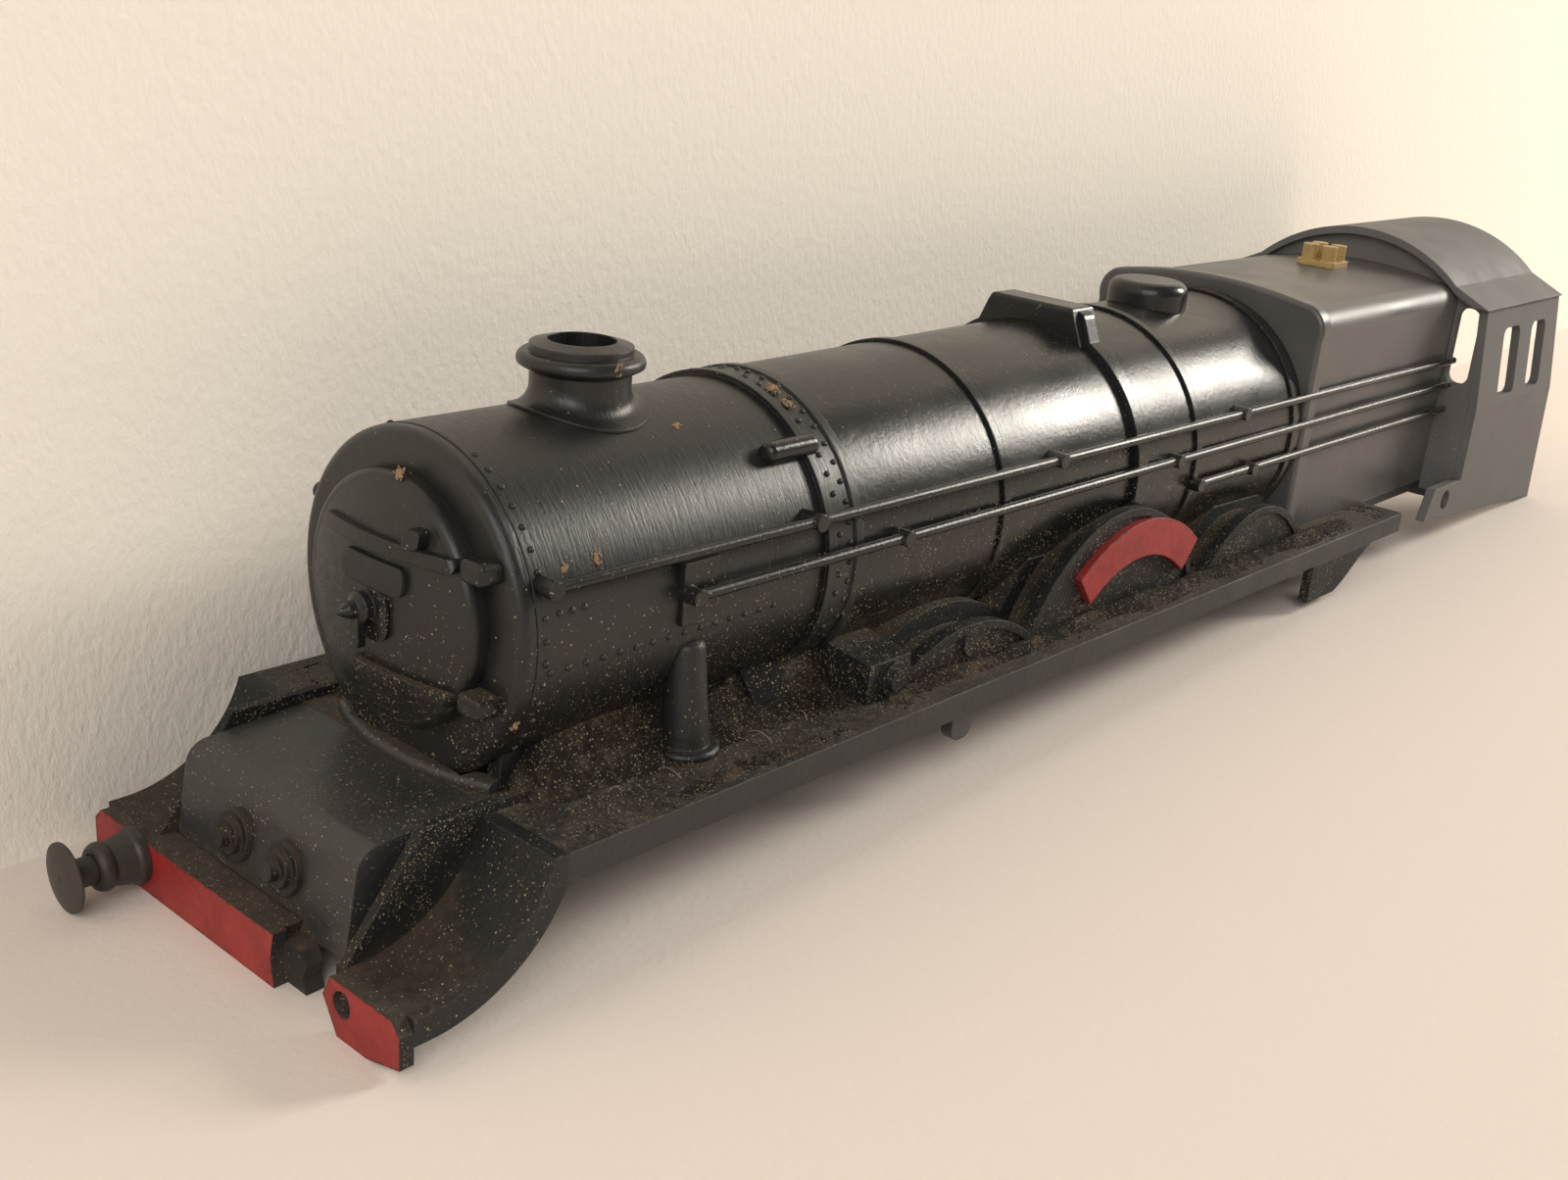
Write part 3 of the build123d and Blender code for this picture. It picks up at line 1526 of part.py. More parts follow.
def buffer_point(reach, radius):
    """Point of a buffer profile: reach forward of the beam's face and radius from its axis."""
    return (beam_face_x + reach, buffer_height + radius)


with BuildPart() as buffer_stock:
    shoulder_reach = stock_base_length + stock_shoulder_length
    with BuildSketch(buffer_plane):
        with BuildLine():
            Polyline(
                buffer_point(0, stock_bore_radius),
                buffer_point(0, stock_base_radius),
                buffer_point(stock_base_length, stock_base_radius),
            )
            ThreePointArc(
                buffer_point(stock_base_length, stock_base_radius),
                buffer_point(stock_base_length + stock_shoulder_length * 0.6, stock_base_radius - 0.03),
                buffer_point(shoulder_reach, stock_shoulder_radius),
            )
            Line(
                buffer_point(shoulder_reach, stock_shoulder_radius),
                buffer_point(stock_waist, stock_waist_radius),
            )
            ThreePointArc(
                buffer_point(stock_waist, stock_waist_radius),
                buffer_point(stock_waist + stock_collar_length * 0.45, stock_collar_radius),
                buffer_point(stock_length, stock_nose_radius),
            )
            Polyline(
                buffer_point(stock_length, stock_nose_radius),
                buffer_point(stock_length, stock_mouth_radius),
                buffer_point(ram_shoulder_seat, stock_mouth_radius),
                buffer_point(ram_shoulder_seat, stock_bore_radius),
                buffer_point(0, stock_bore_radius),
            )
        make_face()
    revolve(axis=buffer_axis)
finish(buffer_stock, "buffer_stock")

with BuildPart() as buffer_plug:
    with BuildSketch(buffer_plane):
        with BuildLine():
            Polyline(
                buffer_point(-beam_skin, 0),
                buffer_point(-beam_skin, buffer_hole_radius - seat_gap),
                buffer_point(0, buffer_hole_radius - seat_gap),
                buffer_point(0, stock_bore_radius - seat_gap),
                buffer_point(plug_thickness, stock_bore_radius - seat_gap),
                buffer_point(plug_thickness, 0),
                close=True,
            )
        make_face()
    revolve(axis=buffer_axis)
finish(buffer_plug, "buffer_plug")

with BuildPart() as buffer_ram:
    ram_radius = stock_mouth_radius - running_fit
    shoulder_radius = stock_bore_radius - running_fit
    head_back = stock_length + ram_shaft_out
    with BuildSketch(buffer_plane):
        with BuildLine():
            Polyline(
                buffer_point(head_back + head_thickness + head_crown, 0),
                buffer_point(ram_shoulder_seat - ram_shoulder_length, 0),
                buffer_point(ram_shoulder_seat - ram_shoulder_length, shoulder_radius),
                buffer_point(ram_shoulder_seat, shoulder_radius),
                buffer_point(ram_shoulder_seat, ram_radius),
                buffer_point(head_back - 2 * ram_flare, ram_radius),
                buffer_point(head_back, ram_radius + ram_flare),
                buffer_point(head_back + head_back_chamfer, head_radius),
                buffer_point(head_back + head_thickness, head_radius),
            )
            TangentArc(
                buffer_point(head_back + head_thickness + head_crown, 0),
                buffer_point(head_back + head_thickness, head_radius),
                tangent=(0, 1),
            )
        make_face()
    revolve(axis=buffer_axis)
finish(buffer_ram, "buffer_ram")

with BuildPart() as buffer_spring:
    spring_seat = beam_face_x + plug_thickness + spring_wire_radius
    coil_length = ram_shoulder_seat - ram_shoulder_length - plug_thickness - 2 * spring_wire_radius
    coil_radius = stock_bore_radius - running_fit - 2 * spring_wire_radius
    coil_steps = spring_turns * spring_facets
    coil_points = []
    for step in range(coil_steps + 1):
        turned = 2 * pi * step / spring_facets
        coil_points.append(
            (
                spring_seat + coil_length * step / coil_steps,
                -buffer_out + coil_radius * cos(turned),
                buffer_height + coil_radius * sin(turned),
            )
        )
    with BuildLine():
        coil = Polyline(*coil_points)
    with BuildSketch(Plane(origin=coil @ 0, z_dir=coil % 0)):
        RegularPolygon(spring_wire_radius, 6)
    sweep(transition=Transition.RIGHT)
finish(buffer_spring, "buffer_spring")
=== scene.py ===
"""Looks of a model steam engine's body shell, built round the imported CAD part.

The script is laid out as a Blender add-on: an operator for each group of pieces, and one for the
stage. Lengths are in metres in the part's own frame: +X forward, +Y to the engine's left, +Z up.
"""

import math

import bpy
import numpy as np
from mathutils import Matrix, Vector


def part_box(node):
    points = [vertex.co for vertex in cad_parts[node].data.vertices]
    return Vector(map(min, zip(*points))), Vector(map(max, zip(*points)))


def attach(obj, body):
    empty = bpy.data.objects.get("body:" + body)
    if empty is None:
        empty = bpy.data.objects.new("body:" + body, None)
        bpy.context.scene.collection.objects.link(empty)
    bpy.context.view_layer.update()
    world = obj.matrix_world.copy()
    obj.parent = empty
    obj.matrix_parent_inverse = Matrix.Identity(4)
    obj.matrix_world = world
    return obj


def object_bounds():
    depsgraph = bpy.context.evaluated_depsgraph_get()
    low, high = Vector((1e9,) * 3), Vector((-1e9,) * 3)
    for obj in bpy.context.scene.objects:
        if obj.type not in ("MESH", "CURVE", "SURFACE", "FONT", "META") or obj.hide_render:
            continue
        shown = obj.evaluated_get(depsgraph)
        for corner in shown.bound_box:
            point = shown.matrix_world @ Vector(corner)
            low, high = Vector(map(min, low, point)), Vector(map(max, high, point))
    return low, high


bl_info = {
    "name": "Model Engine Body",
    "version": (1, 0, 0),
    "blender": (4, 5, 0),
    "location": "3D View > Sidebar > Engine",
    "description": "Worn black mouldings, rivets, dust and a paper stage for a model engine body",
    "category": "Object",
}

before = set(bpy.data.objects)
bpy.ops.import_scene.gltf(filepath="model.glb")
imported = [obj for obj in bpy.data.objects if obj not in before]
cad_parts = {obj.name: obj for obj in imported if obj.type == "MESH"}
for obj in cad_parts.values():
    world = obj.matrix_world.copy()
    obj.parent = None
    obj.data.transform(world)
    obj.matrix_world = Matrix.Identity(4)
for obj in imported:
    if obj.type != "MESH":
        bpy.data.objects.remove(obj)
cad_low, cad_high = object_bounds()

MM = 0.001

# Places on the engine are distances behind the face of the buffer beam in millimetres, and angles
# in degrees above level on the left side.

# Rivets: the front row round the smokebox, the row along its side, the patch under the handrail's
# seat, and the two rows round the band, each this far from the band's middle.
FRONT_RIVETS = 14.75
FRONT_RIVETS_FROM, FRONT_RIVETS_TO = -40, 70
SIDE_RIVETS_FROM, SIDE_RIVETS_TO = 15.2, 36.0
SIDE_RIVETS_ANGLE = -7.7
SEAT_DISTANCES = (15.9, 16.9, 17.9)
SEAT_ANGLES = (18.5, 11.0)
BAND_RIVETS_FROM, BAND_RIVETS_TO = -24, 91
BAND_RIVETS_ASIDE = 0.55

# Knobs that hold the rails, and how far a knob reaches to each side of its middle.
KNOBS = {"handrail": (38.9, 69.0, 100.0), "ejector_pipe": (48.5, 88.0)}
KNOB_REACH = 0.7

# Ends of the dust sheets, of the tall bank, of the ridge and of the loose grains.
SHEET_FROM, SHEET_TO = 14, 133
BANK_FROM, BANK_TO = 14.6, 50.0
RIDGE_FROM, RIDGE_TO = 44, 126
GRIT_FROM, GRIT_TO = 15, 132
GRIT_COUNT = 2200

# Clumps of old glue on the round casings: node, distance, angle, number of grains and spread in
# millimetres.
CASING_FLECKS = (
    ("smokebox", 19.5, 24.5, 14, 0.26),
    ("smokebox", 16.8, 24.0, 6, 0.2),
    ("smokebox_band", 42.4, 72.0, 26, 0.42),
    ("smokebox_band", 42.2, 63.0, 12, 0.3),
    ("smokebox", 31.4, 64.0, 7, 0.25),
    ("smokebox", 13.4, -25.0, 8, 0.25),
)
# The clump on the smokebox door: distance, place to the left, height, number and spread; and the
# way it faces.
DOOR_FLECK = (11.7, 0.9, 30.1, 16, 0.28)
DOOR_FLECK_FACES = (0.8, 0.1, 0.6)
# Clumps round the chimney: turn from forward, depth below the rim, number and spread.
CHIMNEY_FLECKS = ((75.0, 5.4, 9, 0.25), (95.0, 4.2, 8, 0.25), (84.0, 1.2, 12, 0.25))
CHIMNEY_MIDDLE = 27.0
CHIMNEY_CAP_DEPTH = 3.0
CHIMNEY_CAP_RADIUS = 4.3
CHIMNEY_NECK_RADIUS = 3.45

# Where each fibre starts: distance behind the beam's face and distance to the left, in millimetres.
FIBRES = (
    (22.5, 11.0),
    (24.0, 12.4),
    (33.0, 12.0),
    (50.5, 12.2),
    (64.0, 12.5),
    (19.0, 13.0),
    (36.0, 10.5),
    (38.5, 12.0),
    (41.0, 11.2),
)


# ------------------------------------------------------------------------------------- properties
def length(name, default, description):
    """A length property in metres, whose default is given in millimetres."""
    return bpy.props.FloatProperty(
        name=name, description=description, default=default * MM, subtype="DISTANCE", unit="LENGTH"
    )


def colour(name, default, description):
    """A colour property."""
    return bpy.props.FloatVectorProperty(
        name=name, description=description, default=default, size=3, subtype="COLOR"
    )


class EngineLook(bpy.types.PropertyGroup):
    """Sizes and colours of the pieces that are added to the CAD part."""

    rivet_radius: length("Rivet radius", 0.23, "Radius of the moulded rivet heads")
    rivet_pitch: length("Rivet pitch", 1.45, "Distance between rivets in a row")
    rail_radius: length("Rail radius", 0.4, "Radius of the rails along the boiler")
    collar_length: length("Collar length", 1.5, "Length of the collars on the rails")
    band_bead: length("Band bead", 0.16, "Height of the beads along both edges of the smokebox band")
    drift_height: length("Dust height", 1.1, "Height of the dust against the side walls")
    drift_reach: length("Dust reach", 2.2, "How far the dust thins out from the side walls")
    bank_height: length("Bank height", 4.3, "Height of the dust bank beside the smokebox")
    ridge_out: length("Ridge", 14.6, "Distance of the dust ridge from the engine's middle")
    grain_radius: length("Grain radius", 0.07, "Typical radius of a loose grain of dirt")
    paper_gap: length("Wall gap", 2.3, "Distance of the upright paper from the engine's right side")
    black: colour("Black", (0.0105, 0.0102, 0.01), "Moulded black plastic")
    red: colour("Red", (0.3, 0.018, 0.016), "Painted beam and nameplates")
    dust: colour("Dust", (0.085, 0.063, 0.042), "Dry brown dust")
    grit: colour("Grit", (0.35, 0.28, 0.19), "Pale grains among the dust")
    fleck: colour("Fleck", (0.34, 0.23, 0.13), "Flecks of old glue")
    floor: colour("Floor", (0.78, 0.7, 0.64), "Paper on which the body rests")
    paper: colour("Wall", (0.94, 0.89, 0.8), "Paper that stands behind the body")


def look():
    """The scene's settings."""
    return bpy.context.scene.engine_look


def tint(base_colour, factor):
    """A colour made darker or lighter."""
    return tuple(part * factor for part in base_colour)


def shade(name, factor=1.0):
    """One of the settings' colours, made darker or lighter."""
    return tint(getattr(look(), name), factor)


# ----------------------------------------------------------------------- measures of the CAD part
def along(distance):
    """X of a place a distance behind the face of the buffer beam, given in millimetres."""
    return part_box("buffer_beam")[1].x - distance * MM


def round_casing(node):
    """Axis height and radius of a round casing that is cut off below its axis."""
    low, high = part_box(node)
    radius = (high.y - low.y) / 2
    return high.z - radius, radius


def plate_level():
    """Height of the top of the running plate."""
    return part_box("running_plate")[1].z


# ----------------------------------------------------------------------------------- mesh helpers
def mesh_object(name, points, faces, body, material):
    """Smooth object from an array of points and a list of faces, riding on a CAD body."""
    mesh = bpy.data.meshes.new(name)
    mesh.from_pydata(np.asarray(points, float).tolist(), [], faces)
    mesh.validate()
    mesh.polygons.foreach_set("use_smooth", np.ones(len(mesh.polygons), bool))
    mesh.update()
    made = bpy.data.objects.new(name, mesh)
    bpy.context.scene.collection.objects.link(made)
    mesh.materials.append(material)
    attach(made, body)
    return made


def unit(vectors):
    """Vectors scaled to length one, row by row."""
    return vectors / np.linalg.norm(vectors, axis=-1, keepdims=True)


def frames_from(normals):
    """For each normal a 3x3 matrix whose rows are two tangents and the normal itself."""
    normals = unit(np.asarray(normals, float))
    helper = np.where(np.abs(normals[:, :1]) < 0.8, [[1.0, 0.0, 0.0]], [[0.0, 1.0, 0.0]])
    first = unit(np.cross(helper, normals))
    second = np.cross(normals, first)
    return np.stack([first, second, normals], axis=1)


def ring_faces(rings, segments):
    """Quads between successive rings of a surface that closes round, facing outward."""
    ring, step = np.divmod(np.arange((rings - 1) * segments), segments)
    low, high = ring * segments, (ring + 1) * segments
    following = (step + 1) % segments
    return np.stack([low + step, low + following, high + following, high + step], 1).tolist()


def fan_faces(start, segments, apex, outward=1):
    """Triangles from a ring of points to one apex; outward is 1 above the ring and -1 below it."""
    step = np.arange(segments)
    here, there = start + step, start + (step + 1) % segments
    corners = [here, there] if outward > 0 else [there, here]
    return np.stack([*corners, np.full(segments, apex)], 1).tolist()


def ring_points(radii, heights, segments, lobes=0.0):
    """Rings of points about Z, one for each radius and height.

    Two lobes make them uneven: the radius is multiplied by 1 + lobes * cos(2 turn + 3 height).
    """
    turns = np.arange(segments) * 2 * np.pi / segments
    radii, heights = np.asarray(radii)[:, None], np.asarray(heights)[:, None]
    reach = radii * (1 + lobes * np.cos(2 * turns + 3 * heights))
    level = np.broadcast_to(heights, reach.shape)
    return np.stack([reach * np.cos(turns), reach * np.sin(turns), level], -1).reshape(-1, 3)


def dome_template(segments=8):
    """Closed low dome: rings of radius cos(t) and height 0.75 sin(t), an apex and a flat base."""
    lifts = np.array([0.0, 0.45, 0.95])
    radii = np.concatenate([[1.0], np.cos(lifts)])
    heights = np.concatenate([[-0.35], 0.75 * np.sin(lifts)])
    points = np.concatenate([ring_points(radii, heights, segments), [[0, 0, 0.75]]])
    faces = ring_faces(4, segments) + fan_faces(3 * segments, segments, len(points) - 1)
    return points, faces + [tuple(reversed(range(segments)))]


def grain_template(segments=6):
    """Closed rough pebble: three uneven rings, the widest in the middle, and two poles."""
    rings = ring_points((0.75, 1.0, 0.7), (-0.6, 0.0, 0.6), segments, lobes=0.18)
    points = np.concatenate([rings, [[0, 0, -0.9], [0, 0, 0.95]]])
    low, high = len(points) - 2, len(points) - 1
    below = fan_faces(0, segments, low, outward=-1)
    above = fan_faces(2 * segments, segments, high)
    return points, ring_faces(3, segments) + below + above


def scattered(name, template, places, normals, sizes, body, material):
    """Copies of a template stood on places along normals, in one mesh; sizes may be per axis."""
    points, faces = template
    places = np.asarray(places, float)
    sizes = np.asarray(sizes, float).reshape(len(places), -1)
    sizes = np.broadcast_to(sizes, (len(places), 3))
    shaped = points[None, :, :] * sizes[:, None, :]
    turned = np.einsum("nki,nij->nkj", shaped, frames_from(normals)) + places[:, None, :]
    starts = np.arange(len(places))[:, None] * len(points)
    copies = [(starts + face).tolist() for face in faces]
    return mesh_object(name, turned.reshape(-1, 3), sum(copies, []), body, material)


def ripple(first, second, seed, octaves=4):
    """Smooth noise on two coordinates: a sum of sines of random direction, each octave finer."""
    random = np.random.default_rng(seed)
    total = np.zeros(np.broadcast(first, second).shape)
    for octave in range(octaves):
        for _ in range(4):
            angle, phase = random.uniform(0, 2 * np.pi, 2)
            wave = 2.0**octave * (math.cos(angle) * first + math.sin(angle) * second)
            total += np.sin(wave + phase) / 1.7**octave
    return total / 4


def slab(name, xs, ys, top, bottom, material):
    """Closed sheet over a grid: a top surface, a flat underside and the walls between them."""
    grid_x, grid_y = np.meshgrid(xs, ys, indexing="ij")
    upper = np.stack([grid_x, grid_y, top], axis=-1).reshape(-1, 3)
    lower = upper * (1, 1, 0) + (0, 0, bottom)
    index = np.arange(grid_x.size).reshape(grid_x.shape)
    corners = (index[:-1, :-1], index[1:, :-1], index[1:, 1:], index[:-1, 1:])
    above = np.stack(corners, -1).reshape(-1, 4)
    below = above[:, ::-1] + grid_x.size
    around = (index[:-1, 0], index[-1, :-1], index[:0:-1, -1], index[0, :0:-1])
    edge = np.concatenate(around)
    ahead = np.roll(edge, -1)
    walls = np.stack([edge, edge + grid_x.size, ahead + grid_x.size, ahead], 1)
    faces = np.concatenate([above, below, walls]).tolist()
    return mesh_object(name, np.concatenate([upper, lower]), faces, "shell", material)


# --------------------------------------------------------------------------------- shader helpers
def add(tree, kind, inputs=None, **settings):
    """Add a shader node, with its settings and with values or links for its inputs."""
    made = tree.nodes.new(kind)
    for key, value in settings.items():
        setattr(made, key, value)
    for key, value in (inputs or {}).items():
        if isinstance(value, bpy.types.NodeSocket):
            tree.links.new(value, made.inputs[key])
        else:
            made.inputs[key].default_value = value
    return made


def calc(tree, operation, first, second=0.0, clamp=False):
    """One step of arithmetic on values."""
    made = add(tree, "ShaderNodeMath", {0: first, 1: second}, operation=operation, use_clamp=clamp)
    return made.outputs[0]


def blend(tree, factor, first, second):
    """Mix of two colours; a colour is an RGB triple or an output."""
    first = (*first, 1.0) if isinstance(first, (tuple, list)) else first
    second = (*second, 1.0) if isinstance(second, (tuple, list)) else second
    made = add(tree, "ShaderNodeMix", {0: factor, 6: first, 7: second}, data_type="RGBA")
    return made.outputs[2]


def ramp(tree, value, low, high, out_low=0.0, out_high=1.0):
    """Smooth step of a value between two limits."""
    inputs = {"Value": value, 1: low, 2: high, 3: out_low, 4: out_high}
    made = add(tree, "ShaderNodeMapRange", inputs, interpolation_type="SMOOTHSTEP")
    return made.outputs[0]


def noise(tree, vector, scale, detail=4.0, rough=0.6, distortion=0.0):
    """Value of a noise texture; the scale counts features to the metre."""
    inputs = {
        "Vector": vector,
        "Scale": scale,
        "Detail": detail,
        "Roughness": rough,
        "Distortion": distortion,
    }
    return add(tree, "ShaderNodeTexNoise", inputs).outputs["Fac"]


def place(tree):
    """The object's own coordinates."""
    return add(tree, "ShaderNodeTexCoord").outputs["Object"]


def new_group(name, inputs, outputs):
    """Empty node group with sockets given as (name, kind, default)."""
    group = bpy.data.node_groups.new(name, "ShaderNodeTree")
    for label, kind, default in inputs:
        socket = group.interface.new_socket(label, in_out="INPUT", socket_type=kind)
        if default is not None:
            socket.default_value = default
    for label, kind in outputs:
        group.interface.new_socket(label, in_out="OUTPUT", socket_type=kind)
    return group, add(group, "NodeGroupInput").outputs, add(group, "NodeGroupOutput").inputs


def use(tree, name, inputs=None):
    """Outputs of a shared group placed in a tree."""
    group = bpy.data.node_groups[name]
    return add(tree, "ShaderNodeGroup", inputs, node_tree=group).outputs


def make_relief_group():
    """Skin of the moulding: fine orange peel, a few faint scratches, softened corners."""
    group, given, taken = new_group(
        "Moulded Skin",
        [("Depth", "NodeSocketFloat", 0.1), ("Scale", "NodeSocketFloat", 900.0)],
        [("Normal", "NodeSocketVector"), ("Tone", "NodeSocketFloat")],
    )
    at = place(group)
    peel = noise(group, at, given["Scale"], 5.0, 0.65)
    broad = noise(group, at, 120.0, 3.0, 0.55)
    stretched = add(group, "ShaderNodeMapping", {"Vector": at, "Scale": (250.0, 2600.0, 1900.0)})
    scratch = noise(group, stretched.outputs[0], 1.0, 2.0, 0.7, 1.5)
    height = calc(group, "ADD", calc(group, "MULTIPLY", peel, 0.8), calc(group, "MULTIPLY", scratch, 0.1))
    soft = add(group, "ShaderNodeBevel", {"Radius": 0.00016}, samples=4)
    bump = add(
        group,
        "ShaderNodeBump",
        {"Strength": given["Depth"], "Distance": 0.0002, "Height": height, "Normal": soft.outputs[0]},
    )
    group.links.new(bump.outputs[0], taken["Normal"])
    group.links.new(broad, taken["Tone"])


def make_edge_group():
    """Worn edges: where the softened normal leaves the true one, broken up by noise."""
    group, given, taken = new_group(
        "Worn Edge",
        [("Radius", "NodeSocketFloat", 0.0003), ("Amount", "NodeSocketFloat", 0.5)],
        [("Mask", "NodeSocketFloat")],
    )
    soft = add(group, "ShaderNodeBevel", {"Radius": given["Radius"]}, samples=4)
    true = add(group, "ShaderNodeNewGeometry")
    turn = add(
        group,
        "ShaderNodeVectorMath",
        {0: soft.outputs[0], 1: true.outputs["Normal"]},
        operation="DOT_PRODUCT",
    )
    sharp = calc(group, "SUBTRACT", 1.0, turn.outputs["Value"])
    broken = noise(group, place(group), 1400.0, 3.0, 0.7)
    worn = calc(group, "MULTIPLY", ramp(group, sharp, 0.015, 0.09), ramp(group, broken, 0.42, 0.62))
    group.links.new(calc(group, "MULTIPLY", worn, given["Amount"], True), taken["Mask"])


def make_speck_group():
    """Pale specks: round cells of two sizes, rarer high up on the engine and between patches."""
    group, given, taken = new_group(
        "Specks",
        [("Amount", "NodeSocketFloat", 0.5), ("Level", "NodeSocketFloat", 0.027)],
        [("Mask", "NodeSocketFloat")],
    )
    at = place(group)
    height = add(group, "ShaderNodeSeparateXYZ", {"Vector": at}).outputs["Z"]
    floor_level = calc(group, "SUBTRACT", given["Level"], 0.016)
    low_down = ramp(group, height, given["Level"], floor_level, 0.06, 1.0)
    patchy = ramp(group, noise(group, at, 260.0, 4.0, 0.75), 0.38, 0.64, 0.08, 0.8)
    density = calc(group, "MULTIPLY", calc(group, "MULTIPLY", low_down, patchy), given["Amount"])
    total = None
    for scale, size in ((5200.0, 0.38), (2500.0, 0.23)):
        cell = add(group, "ShaderNodeTexVoronoi", {"Vector": at, "Scale": scale})
        pick = add(group, "ShaderNodeSeparateColor", {"Color": cell.outputs["Color"]}).outputs
        radius = ramp(group, pick[1], 0.0, 1.0, size * 0.35, size)
        edge = calc(group, "SUBTRACT", radius, cell.outputs["Distance"])
        dot = ramp(group, edge, 0.0, 0.08)
        kept = calc(group, "MULTIPLY", dot, calc(group, "LESS_THAN", pick[0], density))
        faded = calc(group, "MULTIPLY", kept, ramp(group, pick[2], 0.0, 1.0, 0.25, 1.0))
        total = faded if total is None else calc(group, "MAXIMUM", total, faded)
    group.links.new(total, taken["Mask"])


def make_dust_group():
    """Dust that settles on upward faces and in corners, thicker low down on the engine."""
    group, given, taken = new_group(
        "Settled Dust",
        [("Amount", "NodeSocketFloat", 0.5), ("Level", "NodeSocketFloat", 0.018)],
        [("Mask", "NodeSocketFloat"), ("Tone", "NodeSocketFloat")],
    )
    at = place(group)
    facing = add(group, "ShaderNodeNewGeometry")
    up = add(group, "ShaderNodeSeparateXYZ", {"Vector": facing.outputs["Normal"]})
    height = add(group, "ShaderNodeSeparateXYZ", {"Vector": at})
    shelter = add(group, "ShaderNodeAmbientOcclusion", {"Distance": 0.004}, samples=6)
    corner = ramp(group, shelter.outputs["AO"], 0.85, 0.25)
    upward = ramp(group, up.outputs["Z"], -0.1, 0.95)
    full_below = calc(group, "SUBTRACT", given["Level"], 0.006)
    low_down = ramp(group, height.outputs["Z"], given["Level"], full_below)
    grain = noise(group, at, 1500.0, 5.0, 0.75)
    patch = noise(group, at, 190.0, 4.0, 0.65, 0.4)
    sheltered = calc(group, "ADD", corner, calc(group, "MULTIPLY", low_down, 0.75))
    lying = calc(group, "MULTIPLY", upward, sheltered)
    clinging = calc(group, "MULTIPLY", calc(group, "MULTIPLY", corner, low_down), 0.85)
    thick = calc(group, "MULTIPLY", calc(group, "ADD", lying, clinging), given["Amount"])
    broken = calc(group, "ADD", calc(group, "MULTIPLY", grain, 0.5), calc(group, "MULTIPLY", patch, 0.5))
    mask = ramp(group, calc(group, "ADD", thick, broken), 0.88, 1.24)
    group.links.new(mask, taken["Mask"])
    group.links.new(grain, taken["Tone"])


def make_brush_group():
    """Fine marks that run round a casing: noise stretched by the angle about its axis."""
    axis, _ = round_casing("smokebox")
    group, given, taken = new_group(
        "Brushed Round",
        [("Depth", "NodeSocketFloat", 0.3), ("Normal", "NodeSocketVector", None)],
        [("Normal", "NodeSocketVector"), ("Tone", "NodeSocketFloat")],
    )
    parts = add(group, "ShaderNodeSeparateXYZ", {"Vector": place(group)})
    lift = calc(group, "SUBTRACT", parts.outputs["Z"], axis)
    angle = calc(group, "ARCTAN2", lift, parts.outputs["Y"])
    marks = add(
        group,
        "ShaderNodeCombineXYZ",
        {"X": calc(group, "MULTIPLY", parts.outputs["X"], 4600.0), "Y": calc(group, "MULTIPLY", angle, 6.0)},
    )
    lines = noise(group, marks.outputs[0], 1.0, 3.0, 0.75, 0.3)
    bump = add(
        group,
        "ShaderNodeBump",
        {"Strength": given["Depth"], "Distance": 0.0001, "Height": lines, "Normal": given["Normal"]},
    )
    group.links.new(bump.outputs[0], taken["Normal"])
    group.links.new(lines, taken["Tone"])


def make_groups():
    """All shared node groups."""
    make_relief_group()
    make_edge_group()
    make_speck_group()
    make_dust_group()
    make_brush_group()


# -------------------------------------------------------------------------------------- materials
def new_material(name):
    """Material with a fresh tree, its Principled node and that node's inputs."""
    made = bpy.data.materials.new(name)
    made.use_nodes = True
    tree = made.node_tree
    tree.nodes.clear()
    surface = add(tree, "ShaderNodeBsdfPrincipled")
    add(tree, "ShaderNodeOutputMaterial", {"Surface": surface.outputs[0]})
    return made, tree, surface.inputs


def top_faces(tree):
    """Mask of the faces that look up."""
    facing = add(tree, "ShaderNodeNewGeometry").outputs["Normal"]
    up = add(tree, "ShaderNodeSeparateXYZ", {"Vector": facing}).outputs["Z"]
    return ramp(tree, up, 0.2, 0.6)


def black_moulding(
    name, rough, peel, dust, specks, wear, level=0.018, tone=1.0, gloss=0.5, brushed=False, flat_only=False
):
    """Black moulded plastic with its film of dust, specks, greyed edges and fine relief.

    The dust lies below a level; the tone multiplies the black, and in the firebox, cab and satin
    materials it is painted light that lightens the black; flat_only keeps the specks to faces that
    look up; brushed adds the fine marks that run round a casing.
    """
    made, tree, surface = new_material(name)
    skin = use(tree, "Moulded Skin", {"Depth": peel, "Scale": 1700.0})
    settled = use(tree, "Settled Dust", {"Amount": dust, "Level": level})
    edges = use(tree, "Worn Edge", {"Radius": 0.0002, "Amount": wear})
    sprinkled = use(tree, "Specks", {"Amount": specks})["Mask"]
    if flat_only:
        sprinkled = calc(tree, "MULTIPLY", sprinkled, top_faces(tree))
    normal, mottle = skin["Normal"], skin["Tone"]
    if brushed:
        marks = use(tree, "Brushed Round", {"Depth": 0.3, "Normal": normal})
        normal, mottle = marks["Normal"], marks["Tone"]
    # Two tones of the black at random; a tone above one on the firebox, cab and satin materials is painted
    # light
    base = blend(tree, mottle, shade("black", 0.75 * tone), shade("black", 1.5 * tone))
    base = blend(tree, edges["Mask"], base, shade("black", 5.5))
    powder = blend(tree, settled["Tone"], shade("dust", 0.35), shade("dust"))
    base = blend(tree, settled["Mask"], base, powder)
    base = blend(tree, sprinkled, base, shade("grit"))
    tree.links.new(base, surface["Base Color"])
    shine = ramp(tree, mottle, 0.3, 0.7, rough * 0.85, rough * 1.2)
    dull = calc(tree, "MAXIMUM", settled["Mask"], sprinkled)
    tree.links.new(ramp(tree, dull, 0.0, 1.0, shine, 0.95), surface["Roughness"])
    tree.links.new(normal, surface["Normal"])
    surface["Specular IOR Level"].default_value = gloss
    return made


